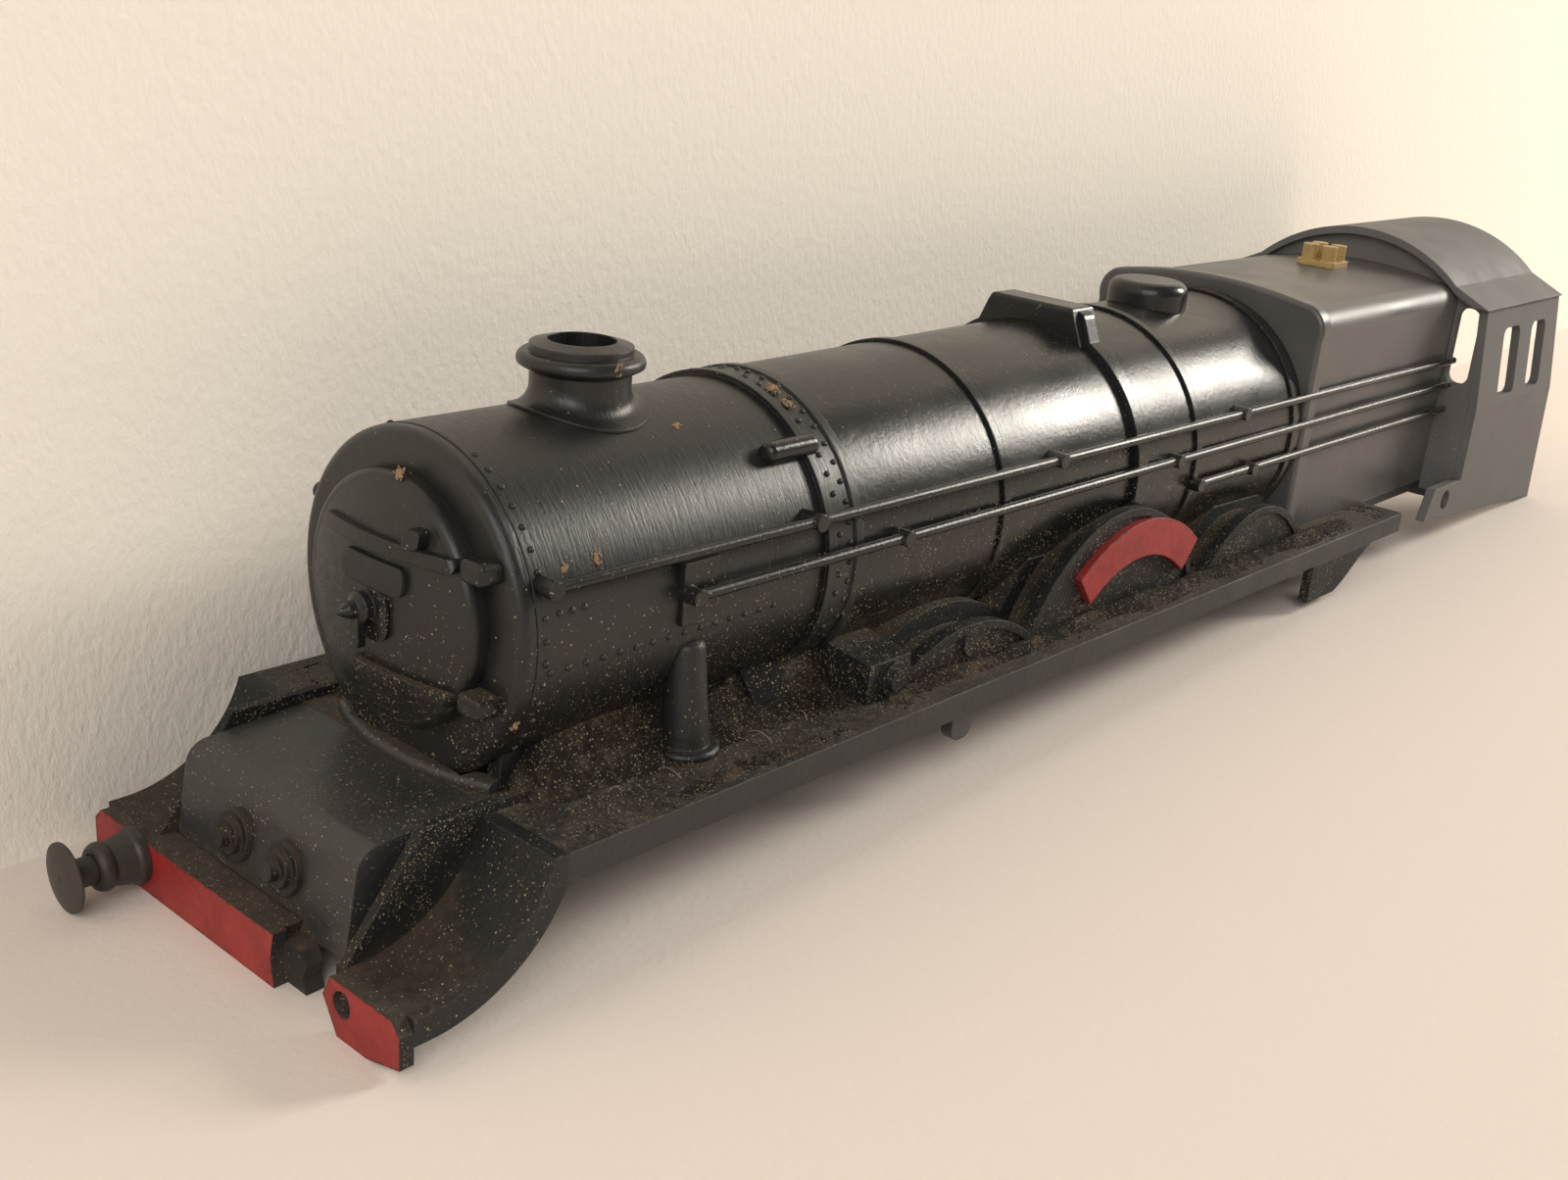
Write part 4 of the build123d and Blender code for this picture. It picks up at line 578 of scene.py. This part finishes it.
def front_faces(tree, at):
    """Mask of the faces that look forward within a hair's breadth of the beam's face."""
    facing = add(tree, "ShaderNodeNewGeometry").outputs["Normal"]
    ahead = add(tree, "ShaderNodeSeparateXYZ", {"Vector": facing}).outputs["X"]
    depth = add(tree, "ShaderNodeSeparateXYZ", {"Vector": at}).outputs["X"]
    creep = calc(tree, "MULTIPLY", noise(tree, at, 900.0, 3.0), 0.0005)
    near = calc(tree, "GREATER_THAN", calc(tree, "ADD", depth, creep), along(0.12))
    return calc(tree, "MULTIPLY", calc(tree, "GREATER_THAN", ahead, 0.5), near)


def red_paint(name, front_only):
    """Worn red paint over black plastic; on the beam it covers the front faces alone."""
    made, tree, surface = new_material(name)
    at = place(tree)
    skin = use(tree, "Moulded Skin", {"Depth": 0.35, "Scale": 1300.0})
    edges = use(tree, "Worn Edge", {"Radius": 0.00045, "Amount": 1.0})
    settled = use(tree, "Settled Dust", {"Amount": 0.85, "Level": 0.03})
    dots = use(tree, "Specks", {"Amount": 0.8})
    cover = front_faces(tree, at) if front_only else 1.0
    chips = ramp(tree, noise(tree, at, 420.0, 6.0, 0.75), 0.68, 0.71)
    bare = calc(tree, "MAXIMUM", edges["Mask"], chips)
    paint = calc(tree, "MULTIPLY", cover, calc(tree, "SUBTRACT", 1.0, bare), True)
    stain = noise(tree, at, 260.0, 5.0, 0.7)
    red, green, blue = shade("red")
    faded = (red * 0.7, green * 0.8, blue * 0.8)
    coat = blend(tree, ramp(tree, stain, 0.3, 0.75), shade("red", 1.12), faded)
    base = blend(tree, paint, shade("black", 1.2), coat)
    unpainted = calc(tree, "SUBTRACT", 1.0, calc(tree, "MULTIPLY", paint, 0.93))
    powder = blend(tree, settled["Tone"], shade("dust", 0.2), shade("dust"))
    base = blend(tree, calc(tree, "MULTIPLY", settled["Mask"], unpainted), base, powder)
    base = blend(tree, calc(tree, "MULTIPLY", dots["Mask"], unpainted), base, shade("grit"))
    tree.links.new(base, surface["Base Color"])
    matt = ramp(tree, stain, 0.2, 0.8, 0.42, 0.62)
    tree.links.new(ramp(tree, unpainted, 0.2, 0.9, matt, 0.8), surface["Roughness"])
    tree.links.new(skin["Normal"], surface["Normal"])
    return made


def plain_coat(name, base_colour, rough, metal=0.0, wear=0.5, light=2.5):
    """Small piece of one colour with tone variation, brightened edges and fine relief."""
    made, tree, surface = new_material(name)
    skin = use(tree, "Moulded Skin", {"Depth": 0.12, "Scale": 1500.0})
    edges = use(tree, "Worn Edge", {"Radius": 0.0002, "Amount": wear})
    mottle = noise(tree, place(tree), 700.0, 5.0, 0.7)
    base = blend(tree, mottle, tint(base_colour, 0.6), tint(base_colour, 1.3))
    base = blend(tree, edges["Mask"], base, tint(base_colour, light))
    tree.links.new(base, surface["Base Color"])
    tree.links.new(ramp(tree, mottle, 0.2, 0.8, rough * 0.8, rough * 1.25), surface["Roughness"])
    tree.links.new(skin["Normal"], surface["Normal"])
    surface["Metallic"].default_value = metal
    return made


def loose_dirt(name, dark, pale, specks, patch):
    """Dry dirt: nearly black where thin, one colour in patches, sprinkled with pale specks."""
    made, tree, surface = new_material(name)
    at = place(tree)
    broad = noise(tree, at, 330.0, 5.0, 0.7)
    fine = noise(tree, at, 3200.0, 5.0, 0.8)
    mixed = calc(tree, "ADD", calc(tree, "MULTIPLY", broad, 0.6), calc(tree, "MULTIPLY", fine, 0.4))
    base = blend(tree, ramp(tree, mixed, patch - 0.11, patch + 0.08), tint(dark, 0.12), dark)
    dots = use(tree, "Specks", {"Amount": specks, "Level": 0.06})
    base = blend(tree, dots["Mask"], base, pale)
    bump = add(tree, "ShaderNodeBump", {"Strength": 0.9, "Distance": 0.00025, "Height": fine})
    tree.links.new(base, surface["Base Color"])
    tree.links.new(bump.outputs[0], surface["Normal"])
    surface["Roughness"].default_value = 0.9
    surface["Specular IOR Level"].default_value = 0.25
    return made


# Settings of the black mouldings; black_moulding says what they mean.
MOULDINGS = {
    "brushed_black": dict(rough=0.36, peel=0.08, dust=0.6, specks=1.0, wear=0.4, level=0.021, brushed=True),
    "gloss_black": dict(rough=0.27, peel=0.16, dust=0.65, specks=2.0, wear=0.5, level=0.022, gloss=0.42),
    # Tone 6.5 is painted light: the firebox's black is lightened as though more light fell on it
    "firebox_black": dict(rough=0.36, peel=0.14, dust=0.5, specks=0.8, wear=0.5, tone=6.5),
    "dusty_black": dict(rough=0.6, peel=0.5, dust=0.8, specks=1.9, wear=0.7, level=0.014, gloss=0.3),
    "bracket_black": dict(rough=0.85, peel=0.5, dust=0.7, specks=1.9, wear=0.5, level=0.014, gloss=0.08),
    "pipe_black": dict(rough=0.42, peel=0.3, dust=0.75, specks=0.45, wear=0.6, level=0.013),
    "drop_black": dict(rough=0.5, peel=0.6, dust=0.8, specks=0.65, wear=0.8, level=0.009, gloss=0.4),
    "plate_black": dict(
        rough=0.5, peel=0.4, dust=0.68, specks=2.2, wear=0.9, level=0.016, flat_only=True, tone=1.6
    ),
    # Tone 3.0 is a painted sheen: the cover's black is lightened as though it caught a broad highlight
    "satin_black": dict(rough=0.36, peel=0.2, dust=0.85, specks=0.7, wear=0.9, level=0.0085, tone=3.0),
    # Tone 9.0 is painted light: the cab's black is lightened to a grey as though lit
    "cab_black": dict(rough=0.6, peel=0.2, dust=0.35, specks=0.2, wear=0.3, tone=9.0),
}

# Which nodes wear each material; all others wear dusty_black.
WEARERS = {
    "brushed_black": ("smokebox", "smokebox_ring", "smokebox_door", "smokebox_band", "chimney"),
    "gloss_black": (
        "boiler_barrel",
        "boiler_bands",
        "feed_pipes",
        "top_feed",
        "dome",
        "ejector",
        "handrail_left",
        "handrail_right",
        "ejector_pipe_left",
        "ejector_pipe_right",
        "lower_pipes",
        "door_straps",
        "door_hinges",
        "door_dart",
        "lamp_irons",
    ),
    "cab_black": ("cab_front", "cab_roof", "cab_side_left", "cab_side_right", "rear_bar"),
    "satin_black": ("cylinder_cover", "saddle_lip", "valance_lugs"),
    "plate_black": ("running_plate",),
    "firebox_black": ("firebox",),
    "drop_black": ("drop_plate_left", "drop_plate_right"),
    "pipe_black": ("cover_bosses", "steam_pipe_left", "steam_pipe_right"),
    "bracket_black": ("plate_brackets",),
    "beam_red": ("buffer_beam", "buffer_beam_end"),
    "name_red": ("nameplate_left", "nameplate_right"),
    "worn_brown": ("buffer_ram",),
    "buffer_dark": ("buffer_stock", "buffer_plug"),
    "bright_wire": ("buffer_spring",),
    "worn_gold": ("safety_valves",),
    "worn_number": ("number_plate",),
}
COATS = {node: coat for coat, nodes in WEARERS.items() for node in nodes}


def make_materials():
    """All materials of the object, by name."""
    make_groups()
    for name, settings in MOULDINGS.items():
        black_moulding(name, **settings)
    red_paint("beam_red", front_only=True)
    red_paint("name_red", front_only=False)
    plain_coat("worn_brown", (0.042, 0.034, 0.028), rough=0.5)
    plain_coat("buffer_dark", (0.034, 0.028, 0.024), rough=0.45, light=3.0)
    plain_coat("bright_wire", (0.5, 0.5, 0.5), rough=0.35, metal=1.0)
    plain_coat("worn_gold", (0.4, 0.27, 0.1), rough=0.45)
    plain_coat("worn_number", (0.014, 0.0135, 0.013), rough=0.55)
    loose_dirt("dirt", shade("dust"), shade("grit"), specks=3.5, patch=0.57)
    loose_dirt("grain", shade("grit", 0.8), shade("grit"), specks=1.0, patch=0.3)
    loose_dirt("fleck", shade("fleck"), shade("fleck", 1.5), specks=1.0, patch=0.3)
    loose_dirt("fibre", (0.34, 0.29, 0.21), (0.5, 0.43, 0.33), specks=0.3, patch=0.2)


class ENGINE_OT_dress(bpy.types.Operator):
    """Make the materials and give each CAD node its own"""

    bl_idname = "engine.dress"
    bl_label = "Dress the CAD nodes"

    def execute(self, context):
        make_materials()
        for name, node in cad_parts.items():
            node.data.materials.clear()
            node.data.materials.append(bpy.data.materials[COATS.get(name, "dusty_black")])
        return {"FINISHED"}


# ----------------------------------------------------------------------------------------- rivets
def on_casing(node, distances, degrees):
    """Points and outward normals on a round casing, by distance behind the beam and angle."""
    axis, radius = round_casing(node)
    x = along(np.asarray(distances, float))
    turn = np.radians(np.asarray(degrees, float))
    normals = np.stack([np.zeros_like(turn), np.cos(turn), np.sin(turn)], axis=1)
    points = np.stack([x, radius * np.cos(turn), axis + radius * np.sin(turn)], axis=1)
    return points, normals


def mirrored(points, normals):
    """The given points and normals together with their mirror images on the other side."""
    flip = np.array([1.0, -1.0, 1.0])
    return np.concatenate([points, points * flip]), np.concatenate([normals, normals * flip])


def rivets_on(node, distances, degrees, name, sunk=0.0):
    """Row of rivet heads on a round casing, on both sides of the engine."""
    distances, degrees = np.broadcast_arrays(distances, degrees)
    points, normals = mirrored(*on_casing(node, distances, degrees))
    points = points - sunk * normals
    sizes = np.full(len(points), look().rivet_radius)
    material = bpy.data.materials["brushed_black"]
    scattered(name, dome_template(), points, normals, sizes, "shell", material)


class ENGINE_OT_rivets(bpy.types.Operator):
    """Add the moulded rivets of the smokebox, its band and the handrail's seat"""

    bl_idname = "engine.rivets"
    bl_label = "Add rivets"

    def execute(self, context):
        pitch = look().rivet_pitch
        _, radius = round_casing("smokebox")
        step = math.degrees(pitch / radius)
        front = np.arange(FRONT_RIVETS_FROM, FRONT_RIVETS_TO, step)
        rivets_on("smokebox", FRONT_RIVETS, front, "rivets_smokebox_front")
        side = np.arange(SIDE_RIVETS_FROM, SIDE_RIVETS_TO, pitch / MM)
        rivets_on("smokebox", side, SIDE_RIVETS_ANGLE, "rivets_smokebox_side")
        distances, degrees = np.meshgrid(SEAT_DISTANCES, SEAT_ANGLES)
        rivets_on("smokebox", distances.ravel(), degrees.ravel(), "rivets_handrail_seat")
        low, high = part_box("smokebox_band")
        middle = (along(0) - (low.x + high.x) / 2) / MM
        rows = (("front", -BAND_RIVETS_ASIDE, 0.0), ("rear", BAND_RIVETS_ASIDE, 0.5))
        for name, aside, start in rows:
            angles = np.arange(BAND_RIVETS_FROM, BAND_RIVETS_TO, step) + start * step
            rivets_on("smokebox_band", middle + aside, angles, f"rivets_band_{name}", look().band_bead)
        return {"FINISHED"}


# ----------------------------------------------------------------------------------- rail collars
class ENGINE_OT_collars(bpy.types.Operator):
    """Put rounded collars on the rails where their knobs hold them"""

    bl_idname = "engine.collars"
    bl_label = "Add rail collars"

    def execute(self, context):
        for rail, distances in KNOBS.items():
            for side in ("left", "right"):
                for index, distance in enumerate(distances):
                    centre = knob_centre(f"{rail}_{side}", along(distance))
                    collar(f"collar_{rail}_{side}_{index + 1}", centre)
        return {"FINISHED"}


def knob_centre(rail, x):
    """Centre of the rail where a knob holds it: the knob stands out as far as its own radius."""
    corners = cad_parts[rail].data.vertices
    points = np.empty(len(corners) * 3, np.float32)
    corners.foreach_get("co", points)
    points = points.reshape(-1, 3).astype(float)
    knob = points[np.abs(points[:, 0] - x) < KNOB_REACH * MM]
    outer = knob[np.abs(knob[:, 1]).argmax(), 1]
    radius = (knob[:, 2].max() - knob[:, 2].min()) / 2
    return x, outer - math.copysign(radius, outer), knob[:, 2].min() + radius


def collar(name, centre, rings=7, segments=16):
    """Short closed barrel round a rail, whose radius is that of the rail times a swelling.

    The swelling is 0.95 at both ends and 0.95 + 0.33 * sin(share * pi)^0.4 between them.
    """
    share = np.linspace(0, 1, rings)
    radius = look().rail_radius * (0.95 + 0.33 * np.sin(share * np.pi) ** 0.4)
    x = centre[0] + (share - 0.5) * look().collar_length
    turns = np.arange(segments) * 2 * np.pi / segments
    ring_y = centre[1] + radius[:, None] * np.cos(turns)
    ring_z = centre[2] + radius[:, None] * np.sin(turns)
    points = np.stack([np.broadcast_to(x[:, None], ring_y.shape), ring_y, ring_z], -1).reshape(-1, 3)
    faces = ring_faces(rings, segments)
    faces.append(tuple(reversed(range(segments))))
    faces.append(tuple(range((rings - 1) * segments, rings * segments)))
    return mesh_object(name, points, faces, "shell", bpy.data.materials["gloss_black"])


# -------------------------------------------------------------------------- dust, grit and fibres
def bank_height(x):
    """Height of the dust against the side walls: a tall bank beside the smokebox, less behind."""
    rise = (along(BANK_FROM) - x) / (1.5 * MM)
    fall = (x - along(BANK_TO)) / (7.0 * MM)
    beside = np.clip(rise, 0, 1) * np.clip(fall, 0, 1)
    return look().drift_height + (look().bank_height - look().drift_height) * beside


def ridge_height(x, y, seed):
    """Wandering ridge of dust along the outer edge of the plate, in front of the splashers.

    Its section is exp(-(away from its middle / 0.75 mm)^2); its middle and height wander with x.
    """
    rise = (along(RIDGE_FROM) - x) / (8 * MM)
    fall = (x - along(RIDGE_TO)) / (8 * MM)
    middle = look().ridge_out + 0.55 * MM * ripple(x * 260, x * 0 + seed, seed + 2, 2)
    across = (np.abs(y) - middle) / (0.75 * MM)
    swell = 0.75 + 0.5 * ripple(x * 330, x * 0, seed + 3, 2)
    inside = np.clip(rise, 0, 1) * np.clip(fall, 0, 1)
    return look().drift_height * 0.9 * swell * inside * np.exp(-(across**2))


def dust_sheet(name, side, seed):
    """Uneven dust on one running plate; side is 1 on the left and -1 on the right.

    By the wall it lies as deep as bank_height * exp(-(away / reach)^2), and the ridge is added.
    Waves and crumbs roughen it, and near its edges it dips below the plate.
    """
    step, wave, crumb, rim = 0.3 * MM, 0.13 * MM, 0.035 * MM, 0.6 * MM
    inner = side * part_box("side_wall_left")[1].y
    outer = side * (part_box("running_plate")[1].y - 0.35 * MM)
    xs = np.arange(along(SHEET_TO), along(SHEET_FROM), step)
    ys = np.sort(np.linspace(inner, outer, int(abs(outer - inner) / (0.25 * MM))))
    grid_x, grid_y = np.meshgrid(xs, ys, indexing="ij")
    away = np.abs(grid_y - inner) / look().drift_reach
    waves = ripple(grid_x * 420, grid_y * 600, seed)
    crumbs = np.random.default_rng(seed).normal(0, crumb, grid_x.shape)
    depth = bank_height(grid_x) * np.exp(-(away**2)) * (0.85 + 0.3 * waves)
    depth += ridge_height(grid_x, grid_y, seed) + wave * waves + crumbs - 0.05 * MM
    edge = np.minimum(np.abs(grid_y - outer), np.minimum(grid_x - xs[0], xs[-1] - grid_x))
    depth = np.where(edge < rim, np.minimum(depth, edge - rim / 2), depth)
    top, bottom = plate_level() + depth, plate_level() - 0.45 * MM
    return slab(name, xs, ys, top, bottom, bpy.data.materials["dirt"])


def grit_places(random, count):
    """Random places on both running plates, crowded towards the side walls."""
    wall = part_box("side_wall_left")[1].y
    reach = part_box("running_plate")[1].y - wall - 0.5 * MM
    share = random.beta(0.9, 2.2, count)
    sides = np.where(random.random(count) < 0.7, 1.0, -1.0)
    x = along(random.uniform(GRIT_FROM, GRIT_TO, count))
    y = sides * (wall + 0.1 * MM + share * reach)
    return np.stack([x, y, np.full(count, plate_level())], axis=1)


def tube(name, path, radius, material, sides=5):
    """Thin closed thread: a polygon of so many sides carried square along a path, and two tips."""
    ahead = unit(np.gradient(path, axis=0))
    turns = np.arange(sides) * 2 * np.pi / sides
    polygon = np.stack([np.cos(turns), np.sin(turns)], axis=1)
    rings = path[:, None] + radius * np.einsum("sj,pjk->psk", polygon, frames_from(ahead)[:, :2])
    tips = (path[:1] - ahead[:1] * radius, path[-1:] + ahead[-1:] * radius)
    points = np.concatenate([rings.reshape(-1, 3), *tips])
    last, count = (len(path) - 1) * sides, len(points)
    faces = ring_faces(len(path), sides) + fan_faces(0, sides, count - 2, outward=-1)
    faces += fan_faces(last, sides, count - 1)
    return mesh_object(name, points, faces, "shell", material)


class ENGINE_OT_dust(bpy.types.Operator):
    """Lay dust on both running plates"""

    bl_idname = "engine.dust"
    bl_label = "Lay dust"

    def execute(self, context):
        dust_sheet("dust_plate_left", side=1, seed=3)
        dust_sheet("dust_plate_right", side=-1, seed=5)
        return {"FINISHED"}


class ENGINE_OT_grit(bpy.types.Operator):
    """Scatter loose grains, flecks and a few fibres"""

    bl_idname = "engine.grit"
    bl_label = "Scatter grit"

    def execute(self, context):
        random = np.random.default_rng(11)
        self.add_grains(random, GRIT_COUNT)
        self.add_flecks(random)
        self.add_fibres(random)
        return {"FINISHED"}

    def add_grains(self, random, count):
        """Loose grains on both running plates, each turned and stretched at random."""
        places = grit_places(random, count)
        normals = np.array([0, 0, 1.0]) + random.normal(0, 0.6, (count, 3))
        sizes = look().grain_radius * random.uniform(0.5, 1.7, (count, 3))
        material = bpy.data.materials["grain"]
        scattered("grit_plate", grain_template(), places, normals, sizes, "shell", material)

    def add_flecks(self, random):
        """Clumps of old glue on the smokebox, its band, its door and the chimney."""
        clumps = []
        for node, distance, degrees, count, spread in CASING_FLECKS:
            points, normals = on_casing(node, [distance], [degrees])
            clumps.append((points[0], normals[0], count, spread))
        distance, aside, height, count, spread = DOOR_FLECK
        clumps.append(((along(distance), aside * MM, height * MM), DOOR_FLECK_FACES, count, spread))
        for turn, depth, count, spread in CHIMNEY_FLECKS:
            angle = math.radians(turn)
            normal = np.array([math.cos(angle), math.sin(angle), 0.0])
            reach = CHIMNEY_NECK_RADIUS if depth > CHIMNEY_CAP_DEPTH else CHIMNEY_CAP_RADIUS
            foot = np.array([along(CHIMNEY_MIDDLE), 0.0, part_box("chimney")[1].z - depth * MM])
            clumps.append((foot + normal * reach * MM, normal, count, spread))
        for index, (centre, normal, count, spread) in enumerate(clumps):
            self.clump(f"flecks_{index + 1}", random, centre, normal, count, spread)

    def clump(self, name, random, centre, normal, count, spread):
        """Grains crowded about a place on a face, the largest in the middle."""
        normal = unit(np.asarray(normal, float))
        tangents = frames_from(normal[None, :])[0, :2]
        away = random.normal(0, spread, (count, 2))
        points = np.asarray(centre) + (away * MM) @ tangents
        nearness = np.exp(-((away**2).sum(axis=1, keepdims=True)) / (2 * spread**2))
        sizes = look().grain_radius * (0.8 + 2.6 * nearness) * np.array([[1, 1, 0.5]])
        normals = normal + random.normal(0, 0.25, (count, 3))
        material = bpy.data.materials["fleck"]
        scattered(name, grain_template(), points, normals, sizes, "shell", material)

    def add_fibres(self, random):
        """Short pale fibres caught in the dust: each heads on while turning, and arches upwards."""
        share = np.linspace(0, 1, 12)
        for index, (distance, out) in enumerate(FIBRES):
            turn = random.uniform(0, 2 * np.pi)
            reach = random.uniform(0.9, 2.4) * MM
            bend = random.uniform(-0.5, 0.5)
            heading = turn + bend * share
            step = reach / (len(share) - 1)
            x = along(distance) + np.cumsum(np.cos(heading)) * step
            y = out * MM + np.cumsum(np.sin(heading)) * step
            z = plate_level() + 0.25 * MM + np.sin(share * np.pi) * 0.4 * MM
            path = np.stack([x, y, z], axis=1)
            tube(f"fibre_{index + 1}", path, 0.035 * MM, bpy.data.materials["fibre"])


# ------------------------------------------------------------------------------------------ stage
def paper_material(name, base_colour, grain, depth):
    """Matt paper with a tooth of so many grains to the metre each way, clear from behind."""
    made, tree, surface = new_material(name)
    at = place(tree)
    stretched = add(tree, "ShaderNodeMapping", {"Vector": at, "Scale": grain})
    tooth = noise(tree, stretched.outputs[0], 1.0, 3.0, 0.6)
    broad = noise(tree, at, 9.0, 3.0, 0.5)
    base = blend(tree, broad, tint(base_colour, 0.985), tint(base_colour, 1.01))
    bump = add(tree, "ShaderNodeBump", {"Strength": depth, "Distance": 0.0004, "Height": tooth})
    tree.links.new(base, surface["Base Color"])
    tree.links.new(bump.outputs[0], surface["Normal"])
    surface["Roughness"].default_value = 0.9
    surface["Specular IOR Level"].default_value = 0.2
    behind = add(tree, "ShaderNodeNewGeometry").outputs["Backfacing"]
    clear = add(tree, "ShaderNodeBsdfTransparent").outputs[0]
    end = next(node for node in tree.nodes if node.type == "OUTPUT_MATERIAL").inputs["Surface"]
    paper = end.links[0].from_socket
    mixed = add(tree, "ShaderNodeMixShader", {0: behind, 1: paper, 2: clear})
    tree.links.new(mixed.outputs[0], end)
    return made


def sheet_of_paper(name, corners, material):
    """Flat sheet through four corners, given in order round it."""
    mesh = bpy.data.meshes.new(name)
    mesh.from_pydata([tuple(corner) for corner in corners], [], [(0, 1, 2, 3)])
    mesh.materials.append(material)
    made = bpy.data.objects.new(name, mesh)
    bpy.context.scene.collection.objects.link(made)
    return made


def floor_height(x):
    """Level of the floor, which touches the beam in front and the cab sheets behind."""
    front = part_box("buffer_beam")[1].x
    rear, rear_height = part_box("cab_side_left")[0].x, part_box("cab_side_left")[0].z
    return (front - x) * rear_height / (front - rear)


def area_light(name, position, target, size, power, tone):
    """Square soft light that faces a target."""
    data = bpy.data.lights.new(name, "AREA")
    data.shape = "SQUARE"
    data.size = size
    data.energy = power
    data.color = tone
    made = bpy.data.objects.new(name, data)
    bpy.context.scene.collection.objects.link(made)
    made.location = position
    made.rotation_mode = "QUATERNION"
    made.rotation_quaternion = (Vector(target) - Vector(position)).to_track_quat("-Z", "Y")
    return made


class ENGINE_OT_stage(bpy.types.Operator):
    """Set up the papers, the lights and the camera"""

    bl_idname = "engine.stage"
    bl_label = "Set the stage"

    def execute(self, context):
        self.add_papers()
        self.add_lights(context.scene)
        self.add_camera(context.scene)
        return {"FINISHED"}

    def add_papers(self):
        """Floor that tilts under the body, and an upright paper close beside its right side."""
        reach = 0.9
        wall_y = cad_low.y - look().paper_gap
        floor = paper_material("floor_paper", shade("floor"), (1500.0, 1500.0, 1500.0), 0.12)
        upright = paper_material("wall_paper", shade("paper"), (1500.0, 1.0, 850.0), 0.35)
        corners = [(-reach, -reach), (reach, -reach), (reach, reach), (-reach, reach)]
        sheet_of_paper("floor", [(x, y, floor_height(x)) for x, y in corners], floor)
        outline = [
            (reach, wall_y, floor_height(reach)),
            (-reach, wall_y, floor_height(-reach)),
            (-reach, wall_y, reach),
            (reach, wall_y, reach),
        ]
        sheet_of_paper("upright_paper", outline, upright)

    def add_lights(self, scene):
        """Soft warm key from behind and above, a broad fill from the front, a pale sky."""
        aim = (0.01, 0.0, 0.015)
        area_light("key", (-0.82, 0.37, 0.44), aim, size=0.27, power=7.3, tone=(1.0, 0.94, 0.84))
        area_light("fill", (0.9, 0.6, 0.66), aim, size=0.85, power=8.0, tone=(1.0, 0.96, 0.92))
        world = bpy.data.worlds.new("pale_room")
        world.use_nodes = True
        background = world.node_tree.nodes["Background"]
        background.inputs["Color"].default_value = (1.0, 0.95, 0.88, 1.0)
        background.inputs["Strength"].default_value = 0.25
        scene.world = world
        scene.view_settings.view_transform = "Standard"

    def add_camera(self, scene):
        """Camera ahead of the engine's left side, a little above it, rolled by five degrees."""
        data = bpy.data.cameras.new("camera")
        data.sensor_width = 36.0
        data.lens = 39.43
        data.clip_start = 0.005
        data.clip_end = 10.0
        made = bpy.data.objects.new("camera", data)
        scene.collection.objects.link(made)
        right = Vector((-0.66744, 0.74011, 0.08218))
        up = Vector((-0.19974, -0.28425, 0.93771))
        turned = Matrix((right, up, right.cross(up))).transposed()
        made.rotation_mode = "QUATERNION"
        made.rotation_quaternion = turned.to_quaternion()
        made.location = (0.134845, 0.084656, 0.060859)
        scene.camera = made


# ------------------------------------------------------------------------------------------ panel
OPERATORS = (
    ENGINE_OT_dress,
    ENGINE_OT_rivets,
    ENGINE_OT_collars,
    ENGINE_OT_dust,
    ENGINE_OT_grit,
    ENGINE_OT_stage,
)


class ENGINE_PT_panel(bpy.types.Panel):
    """Sidebar with the settings and the steps"""

    bl_label = "Model Engine Body"
    bl_idname = "ENGINE_PT_panel"
    bl_space_type = "VIEW_3D"
    bl_region_type = "UI"
    bl_category = "Engine"

    def draw(self, context):
        for key in EngineLook.__annotations__:
            self.layout.prop(context.scene.engine_look, key)
        for operator in OPERATORS:
            self.layout.operator(operator.bl_idname)


CLASSES = (EngineLook, *OPERATORS, ENGINE_PT_panel)


def register():
    """Register the classes and the settings."""
    for cls in CLASSES:
        bpy.utils.register_class(cls)
    bpy.types.Scene.engine_look = bpy.props.PointerProperty(type=EngineLook)


def unregister():
    """Undo register."""
    del bpy.types.Scene.engine_look
    for cls in reversed(CLASSES):
        bpy.utils.unregister_class(cls)


def main():
    """Run every step in order."""
    register()
    bpy.ops.engine.dress()
    bpy.ops.engine.rivets()
    bpy.ops.engine.collars()
    bpy.ops.engine.dust()
    bpy.ops.engine.grit()
    bpy.ops.engine.stage()


if __name__ == "__main__":
    main()
